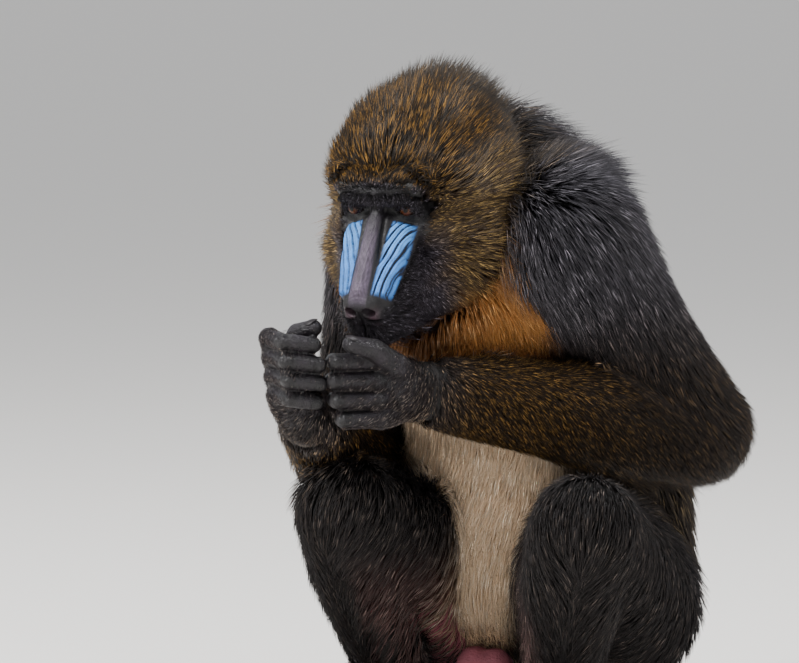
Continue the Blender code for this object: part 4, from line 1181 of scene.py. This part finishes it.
def grow(name):
    """Grows one region of the coat."""
    wanted, thick, bunching, _, _ = COATS[name]
    roots, normals, home = sow(name, wanted)
    tree = bare_surface.get(name, surface)
    if name in bare_surface:
        roots, normals, moved = nearest(tree, roots)
        clear = moved < (FACE_SHIFT if name == "face" else LIMB_SHIFT)
        if name == "hands":
            between = np.max([finger_gaps(side_name, roots) for side_name in SIDES], axis=0)
            clear &= draw.random(wanted) > 1.2 * between
        roots, normals, home = roots[clear], normals[clear], home[clear]
    count = len(roots)
    path, length, shares = comb(name, roots, normals, tree)
    bunch(path, bunching)
    mix = coat_colours(roots, normals, shares)
    root, middle, tip, fleck = (sum(mix[k][:, None] * PALETTE[k][0][i] for k in mix) for i in range(4))
    flecked = draw.random(count) < sum(mix[k] * PALETTE[k][1] for k in mix)
    spread = BELLY_TONE_SPREAD if name == "belly" else TONE_SPREAD
    tone = np.exp(draw.normal(0, spread, count))[:, None]
    if name == "face":
        tone *= np.where(head_local(roots)[2] > 1.2, 0.45, 0.9)[:, None]
    rows = [root * tone, middle * tone, tip * tone]
    glint = np.exp(draw.normal(-0.05, FLECK_SPREAD, count))[:, None]
    fleck = fleck * glint * (0.3 + 0.7 * np.minimum(tone, 1))
    bands = np.column_stack([fleck, flecked])
    fine = 1.0 if name in bare_surface else np.clip(length / 0.02, 0.5, 1.0)
    width = thick * 0.001 * fine * draw.uniform(*WIDTH_SPREAD, count)
    return strands("coat_" + name, path, normals, width, rows, bands, home)


coat = {name: grow(name) for name in REGIONS}
bpy.data.objects.remove(follicles)
bpy.data.objects.remove(coat_outline)


# Mandrill hair: keratin with a dull silky sheen, dark at the root and lighter at the tip. Some hairs
# have a pale band short of the tip, between these shares of the length, which is the golden fleck.
# On the mantle the lighter tips and the grey bands are partly painted sheen.
BAND_START, BAND_END = (0.58, 0.68), (0.80, 0.90)
hair = bpy.data.materials.new("mandrill_hair")
hair.use_nodes = True
tree = hair.node_tree
base = add_node(tree, "ShaderNodeAttribute", {"attribute_name": "coat"})
band = add_node(tree, "ShaderNodeAttribute", {"attribute_name": "fleck"})
along_hair = add_node(tree, "ShaderNodeAttribute", {"attribute_name": "along"}).outputs["Fac"]
smooth = {"interpolation_type": "SMOOTHSTEP"}
rising, falling = (
    add_node(tree, "ShaderNodeMapRange", smooth, Value=along_hair, From_Min=low, From_Max=high).outputs[0]
    for low, high in (BAND_START, BAND_END[::-1])
)
times = {"operation": "MULTIPLY"}
both = add_node(tree, "ShaderNodeMath", times, _0=rising, _1=falling)
marked = add_node(tree, "ShaderNodeMath", times, _0=both.outputs[0], _1=band.outputs["Alpha"])
mixed = add_node(tree, "ShaderNodeMix", {"data_type": "RGBA"}, Factor=marked.outputs[0])
tree.links.new(base.outputs["Color"], mixed.inputs["A"])
tree.links.new(band.outputs["Color"], mixed.inputs["B"])
shader = tree.nodes["Principled BSDF"]
tree.links.new(mixed.outputs["Result"], shader.inputs["Base Color"])
shader.inputs["Roughness"].default_value = 0.5
shader.inputs["Specular IOR Level"].default_value = 0.22

# The slot and the nodes of the solids that each region of the coat stands for
COAT_STANDS_FOR = {
    "crown": ("brown_coat", "head"),
    "cheeks": ("brown_coat", "head", "jaw"),
    "throat": ("orange_coat", "jaw", "neck", "chest"),
    "mantle": ("black_coat", "neck", "chest"),
    "back": ("black_coat", "chest", "abdomen", "pelvis", "tail"),
    "belly": ("pale_coat", "abdomen", "pelvis"),
    "upper_arm_left": ("brown_coat", "upper_arm_left"),
    "forearm_left": ("brown_coat", "forearm_left"),
    "arm_right": ("brown_coat", "upper_arm_right", "forearm_right"),
    "leg_left": ("black_coat", "thigh_left", "shank_left"),
    "leg_right": ("black_coat", "thigh_right", "shank_right"),
    "face": ("dark_skin", "head", "jaw"),
    "hands": ("dark_skin", "hand_left", "hand_right"),
    "feet": ("dark_skin", "foot_left", "foot_right"),
}
for name, piece in coat.items():
    piece.data.materials.append(hair)
    stand_in(piece, *COAT_STANDS_FOR[name])


# Eyes: a wet eyeball with a bulging cornea over an orange-brown iris, set deep under the brow and held
# by the lids. The iris, pupil and dark white are painted on the ball in shares of its radius.
PUPIL_EDGE = (0.19, 0.22)
IRIS_EDGE = (0.53, 0.48)
WHITE_EDGE = (0.48, 0.56)
CORNEA_REACH = 0.56
CORNEA_BULGE = 0.06
EYE_TURN = math.radians(8)
# The iris is painted darker than its own orange-brown, as painted shade under the brow.
SHADED_IRIS_BROWN, WHITE_BROWN = "#40220f", "#1d1310"


def eye(side_name):
    way = SIDES[side_name]
    turn = HEAD_FRAME @ Matrix.Rotation(EYE_TURN * way, 3, "Z") @ Matrix.Rotation(math.radians(90), 3, "X")
    mesh = bmesh.new()
    ball = bmesh.ops.create_uvsphere(mesh, u_segments=64, v_segments=56, radius=1.0)
    for vertex in ball["verts"]:
        out = math.hypot(vertex.co.x, vertex.co.y)
        bulge = CORNEA_BULGE * max(0.0, 1 - (out / CORNEA_REACH) ** 2) if vertex.co.z > 0 else 0.0
        vertex.co = eye_centre(way) + turn @ (vertex.co * (EYE_RADIUS * CM * (1 + bulge)))
    obj = new_object("eyeball_" + side_name, mesh)
    local = (corners(obj.data) - np.array(eye_centre(way))) @ np.array(turn) / (EYE_RADIUS * CM)
    out = np.hypot(local[:, 0], local[:, 1]) + (local[:, 2] < 0) * 2
    angle = np.arctan2(local[:, 1], local[:, 0])
    fibres = 0.85 + 0.15 * np.sin(angle * 23 + 2 * np.sin(angle * 7)) + 0.1 * np.sin(angle * 51)
    iris = np.array(linear(SHADED_IRIS_BROWN))[None] * fibres[:, None] * (1 + 0.5 * bump(out, 0.27, 0.08))[:, None]
    white = np.array(linear(WHITE_BROWN))[None]
    tones = iris * ramp(out, *IRIS_EDGE)[:, None] + white * ramp(out, *WHITE_EDGE)[:, None]
    tones *= (1 - 0.75 * bump(out, 0.51, 0.05))[:, None]
    tones *= ramp(out, *PUPIL_EDGE)[:, None]
    paint_skin(obj, lambda spots, normals: tones)
    return obj


eyes = {name: eye(name) for name in SIDES}
cornea = bpy.data.materials.new("eye_with_wet_cornea")
cornea.use_nodes = True
shader = cornea.node_tree.nodes["Principled BSDF"]
painted = add_node(cornea.node_tree, "ShaderNodeAttribute", {"attribute_name": "paint"})
cornea.node_tree.links.new(painted.outputs["Color"], shader.inputs["Base Color"])
shader.inputs["Roughness"].default_value = 0.25
shader.inputs["Coat Weight"].default_value = 0.05
shader.inputs["Specular IOR Level"].default_value = 0.15
shader.inputs["Coat Roughness"].default_value = 0.03
for name, piece in eyes.items():
    piece.data.materials.append(cornea)
    stand_in(piece, "amber_eye", "eye_" + name)


# Nails: dark horn, narrow and arched, grown on the back of every finger's and toe's tip. Each is a ball
# pressed flat and bent over the tip. Horn is harder and smoother than the skin round it.
NAIL_BLACK = "#1c171a"


def nails():
    mesh = bmesh.new()
    spots = []
    for side_name in SIDES:
        for finger in range(4):
            joints = finger_joints(side_name, finger)
            spots.append((joints[3], joints[3] - joints[2], joints[2] - joints[1], FINGER_RADII[3], 0.62))
        root, middle, tip = HAND[side_name]["thumb"]
        spots.append((tip, tip - middle, Vector((0, -0.3, 1)), 0.75, 0.75))
        for knuckle, middle, tip in toe_joints(side_name)[2]:
            spots.append((tip, tip - middle, Vector((0, 0, 1)), 0.75, 0.7))
    for tip, way, upward, radius, size in spots:
        way = way.normalized()
        upward = (upward - way * upward.dot(way)).normalized()
        across_way = way.cross(upward)
        ball = bmesh.ops.create_icosphere(mesh, subdivisions=3, radius=1.0)
        for vertex in ball["verts"]:
            x, y, z = vertex.co
            arch = math.sqrt(max(0.0, 1 - 0.6 * x * x)) * (1 - 0.16 * max(0.0, y + 0.2) ** 2)
            flat = (radius * 0.98 * arch + 0.07 * z) * CM
            onward = (y * 0.8 + 0.1) * size * CM
            vertex.co = tip + across_way * (x * size * 0.85 * CM) + way * onward + upward * flat
    return new_object("nails", mesh)


nail_piece = nails()
paint_skin(nail_piece, one_colour(NAIL_BLACK))
nail_piece.data.materials.append(skin_material("dark_nail", grain=0.001, depth=0.0001, roughness=0.5))
stand_in(nail_piece, "dark_skin", "hand_left", "hand_right", "foot_left", "foot_right")


# The skins' colours: living skin, blue on the ribbed swellings, purplish grey on the nose, pink and
# violet on the rump, near black on the hands and feet, and under the coat as dark as the hair's roots,
# which is painted shade between the hairs.
def over(tones, share, hex_colour):
    """Lays a colour over others where its share is above 0."""
    return tones * (1 - share[:, None]) + np.array(linear(hex_colour)) * share[:, None]


def shade_under_coat(spots, normals):
    """The skin between the hairs, painted as dark as the hair's roots for the shade among them."""
    shares, _ = hair_shares(spots)
    mix = coat_colours(spots, normals, shares)
    return sum(mix[k][:, None] * PALETTE[k][0][0] for k in mix)


BARE_PINK, GROIN_PINK = "#8f5560", "#9a5660"
SEAT_VIOLET, SEAT_RED = "#84719c", "#a04a58"


def paint_body(spots, normals):
    tones = shade_under_coat(spots, normals)
    shares, _ = hair_shares(spots)
    tones = over(tones, ramp(share_of(shares, "bare"), 0.2, 0.6), BARE_PINK)
    tones = over(tones, groin_share(spots, normals) * 0.85, GROIN_PINK)
    seat = rump_share(spots, normals)
    tones = over(tones, seat, SEAT_VIOLET)
    x = np.abs(spots[:, 0]) / CM
    return over(tones, seat * ramp(x, 2.4, 0.8), SEAT_RED)


FINGER_BLACK, FINGER_MOTTLE, FOLD_SHADE, WRIST_BROWN = "#120f12", "#2e262e", "#080707", "#15110f"


def paint_limb_end(spots, normals, folds=0.0):
    """The colours of a hand or a foot, with painted shade in the folds and gaps of the fingers."""
    shares, _ = hair_shares(spots)
    x, y, z = spots.T
    mottle = 0.5 + 0.5 * np.sin(x * 310 + 2 * np.sin(z * 190)) * np.sin(z * 260 + y * 210)
    tones = np.tile(np.array(linear(FINGER_BLACK)), (len(spots), 1))
    tones = over(tones, 0.35 * mottle, FINGER_MOTTLE)
    # Painted shade: the folds over the finger joints and the gaps between the fingers are darkened.
    tones = over(tones, 0.85 * folds + np.zeros(len(spots)), FOLD_SHADE)
    above = share_of(shares, "forearm", "shank", "upper_arm", "thigh")
    return over(tones, ramp(above, 0.3, 0.7), WRIST_BROWN)


FACE_BLACK, SOCKET_SHADE, LIP_BLACK = "#0f0c0f", "#070607", "#120d10"
NOSE_GREY, NOSE_STREAK, BRIDGE_GREY, NOSTRIL_PINK = "#574b5c", "#241f26", "#2c262b", "#5c4550"
RIB_BLUE, CREST_HIGHLIGHT_BLUE, GROOVE_SHADE_BLUE = "#1d62b8", "#5fa6ec", "#0a1320"


def paint_head(spots, normals):
    side, forward, up = head_local(spots)
    along, rise = along_muzzle(forward, up)
    ridges = ridge_mask(side, along, rise)
    grooves = ridge_grooves(side, along)
    edge = bare_edge(side, forward, up)
    tones = shade_under_coat(spots, normals)
    tones = over(tones, ramp(edge, 0.6, -0.1), FACE_BLACK)
    # Painted shade: the skin round each eye is darkened to near black, where the brow shades it.
    for way in SIDES.values():
        seen = np.linalg.norm(spots - np.array(eye_centre(way)), axis=1) / CM
        tones = over(tones, ramp(seen, 2.3, 1.4) * 0.9, SOCKET_SHADE)
    outer, inner = (np.interp(along, (1, 4, 9), widths) for widths in ((0.8, 0.8, 1.0), (0.45, 0.55, 0.7)))
    strip = ramp(np.abs(side), outer, inner)
    strip *= ramp(along, 0.8, 2.5) * ramp(along, 10.5, 9.0) * ramp(rise, -0.5, 0.5)
    streaks = np.sin(side * 23 + 3 * np.sin(along * 1.7))
    velvet = 0.5 + 0.5 * streaks * np.sin(along * 5 + 4 * np.sin(side * 3))
    tones = over(tones, strip * (0.1 + 0.85 * ramp(along, 1.5, 5.5)), NOSE_GREY)
    tones = over(tones, strip * velvet * 0.65, NOSE_STREAK)
    bridge = bump(side, 0, 0.5) * ramp(along, 1.2, 0.4) * ramp(along, -1.5, -0.5)
    tones = over(tones, bridge * 0.3, BRIDGE_GREY)
    tones = over(tones, ridges * (1 - 0.92 * grooves), RIB_BLUE)
    # Painted highlight: the crests of the ribs are lighter blue, more so towards the top.
    crest_highlight = np.clip(ridges * (1 - 1.6 * grooves), 0, 1) * (0.4 + 0.3 * ramp(along, 6.5, 3.0))
    tones = over(tones, crest_highlight, CREST_HIGHLIGHT_BLUE)
    # Painted shade: the grooves between the ribs are darkened to near black.
    tones = over(tones, ridges * grooves * 0.9, GROOVE_SHADE_BLUE)
    nostrils = bump(side, 1.15 * np.sign(side), 0.5) * ramp(forward, 12.0, 13.0) * ramp(up, -4.2, -5.0)
    tones = over(tones, nostrils * 0.5, NOSTRIL_PINK)
    return over(tones, mouth_line(side, forward, up) * ramp(forward, 6.5, 8.5) * 0.8, LIP_BLACK)


BODY_NODES = (
    "chest", "neck", "abdomen", "pelvis", "tail", "scrotum", "thigh_left", "thigh_right", "shank_left",
    "shank_right", "upper_arm_left", "upper_arm_right", "forearm_left", "forearm_right",
)
paint_skin(body_skin, paint_body)
body_skin.data.materials.append(skin_material("skin_under_coat", grain=0.003, depth=0.001, roughness=0.7))
stand_in(body_skin, "black_coat", *BODY_NODES)
paint_skin(head_skin, paint_head)
head_skin.data.materials.append(face_skin)
stand_in(head_skin, "brown_coat", "head", "jaw")
limb_skin = skin_material("bare_hand_and_foot_skin", grain=0.0016, depth=0.0014, roughness=0.36)
for name in SIDES:
    paint_skin(hand_skin[name], lambda spots, normals: paint_limb_end(spots, normals, hand_fold_shade[name]))
    paint_skin(foot_skin[name], paint_limb_end)
    for kind, piece in (("hand_", hand_skin[name]), ("foot_", foot_skin[name])):
        piece.data.materials.append(limb_skin)
        stand_in(piece, "dark_skin", kind + name)
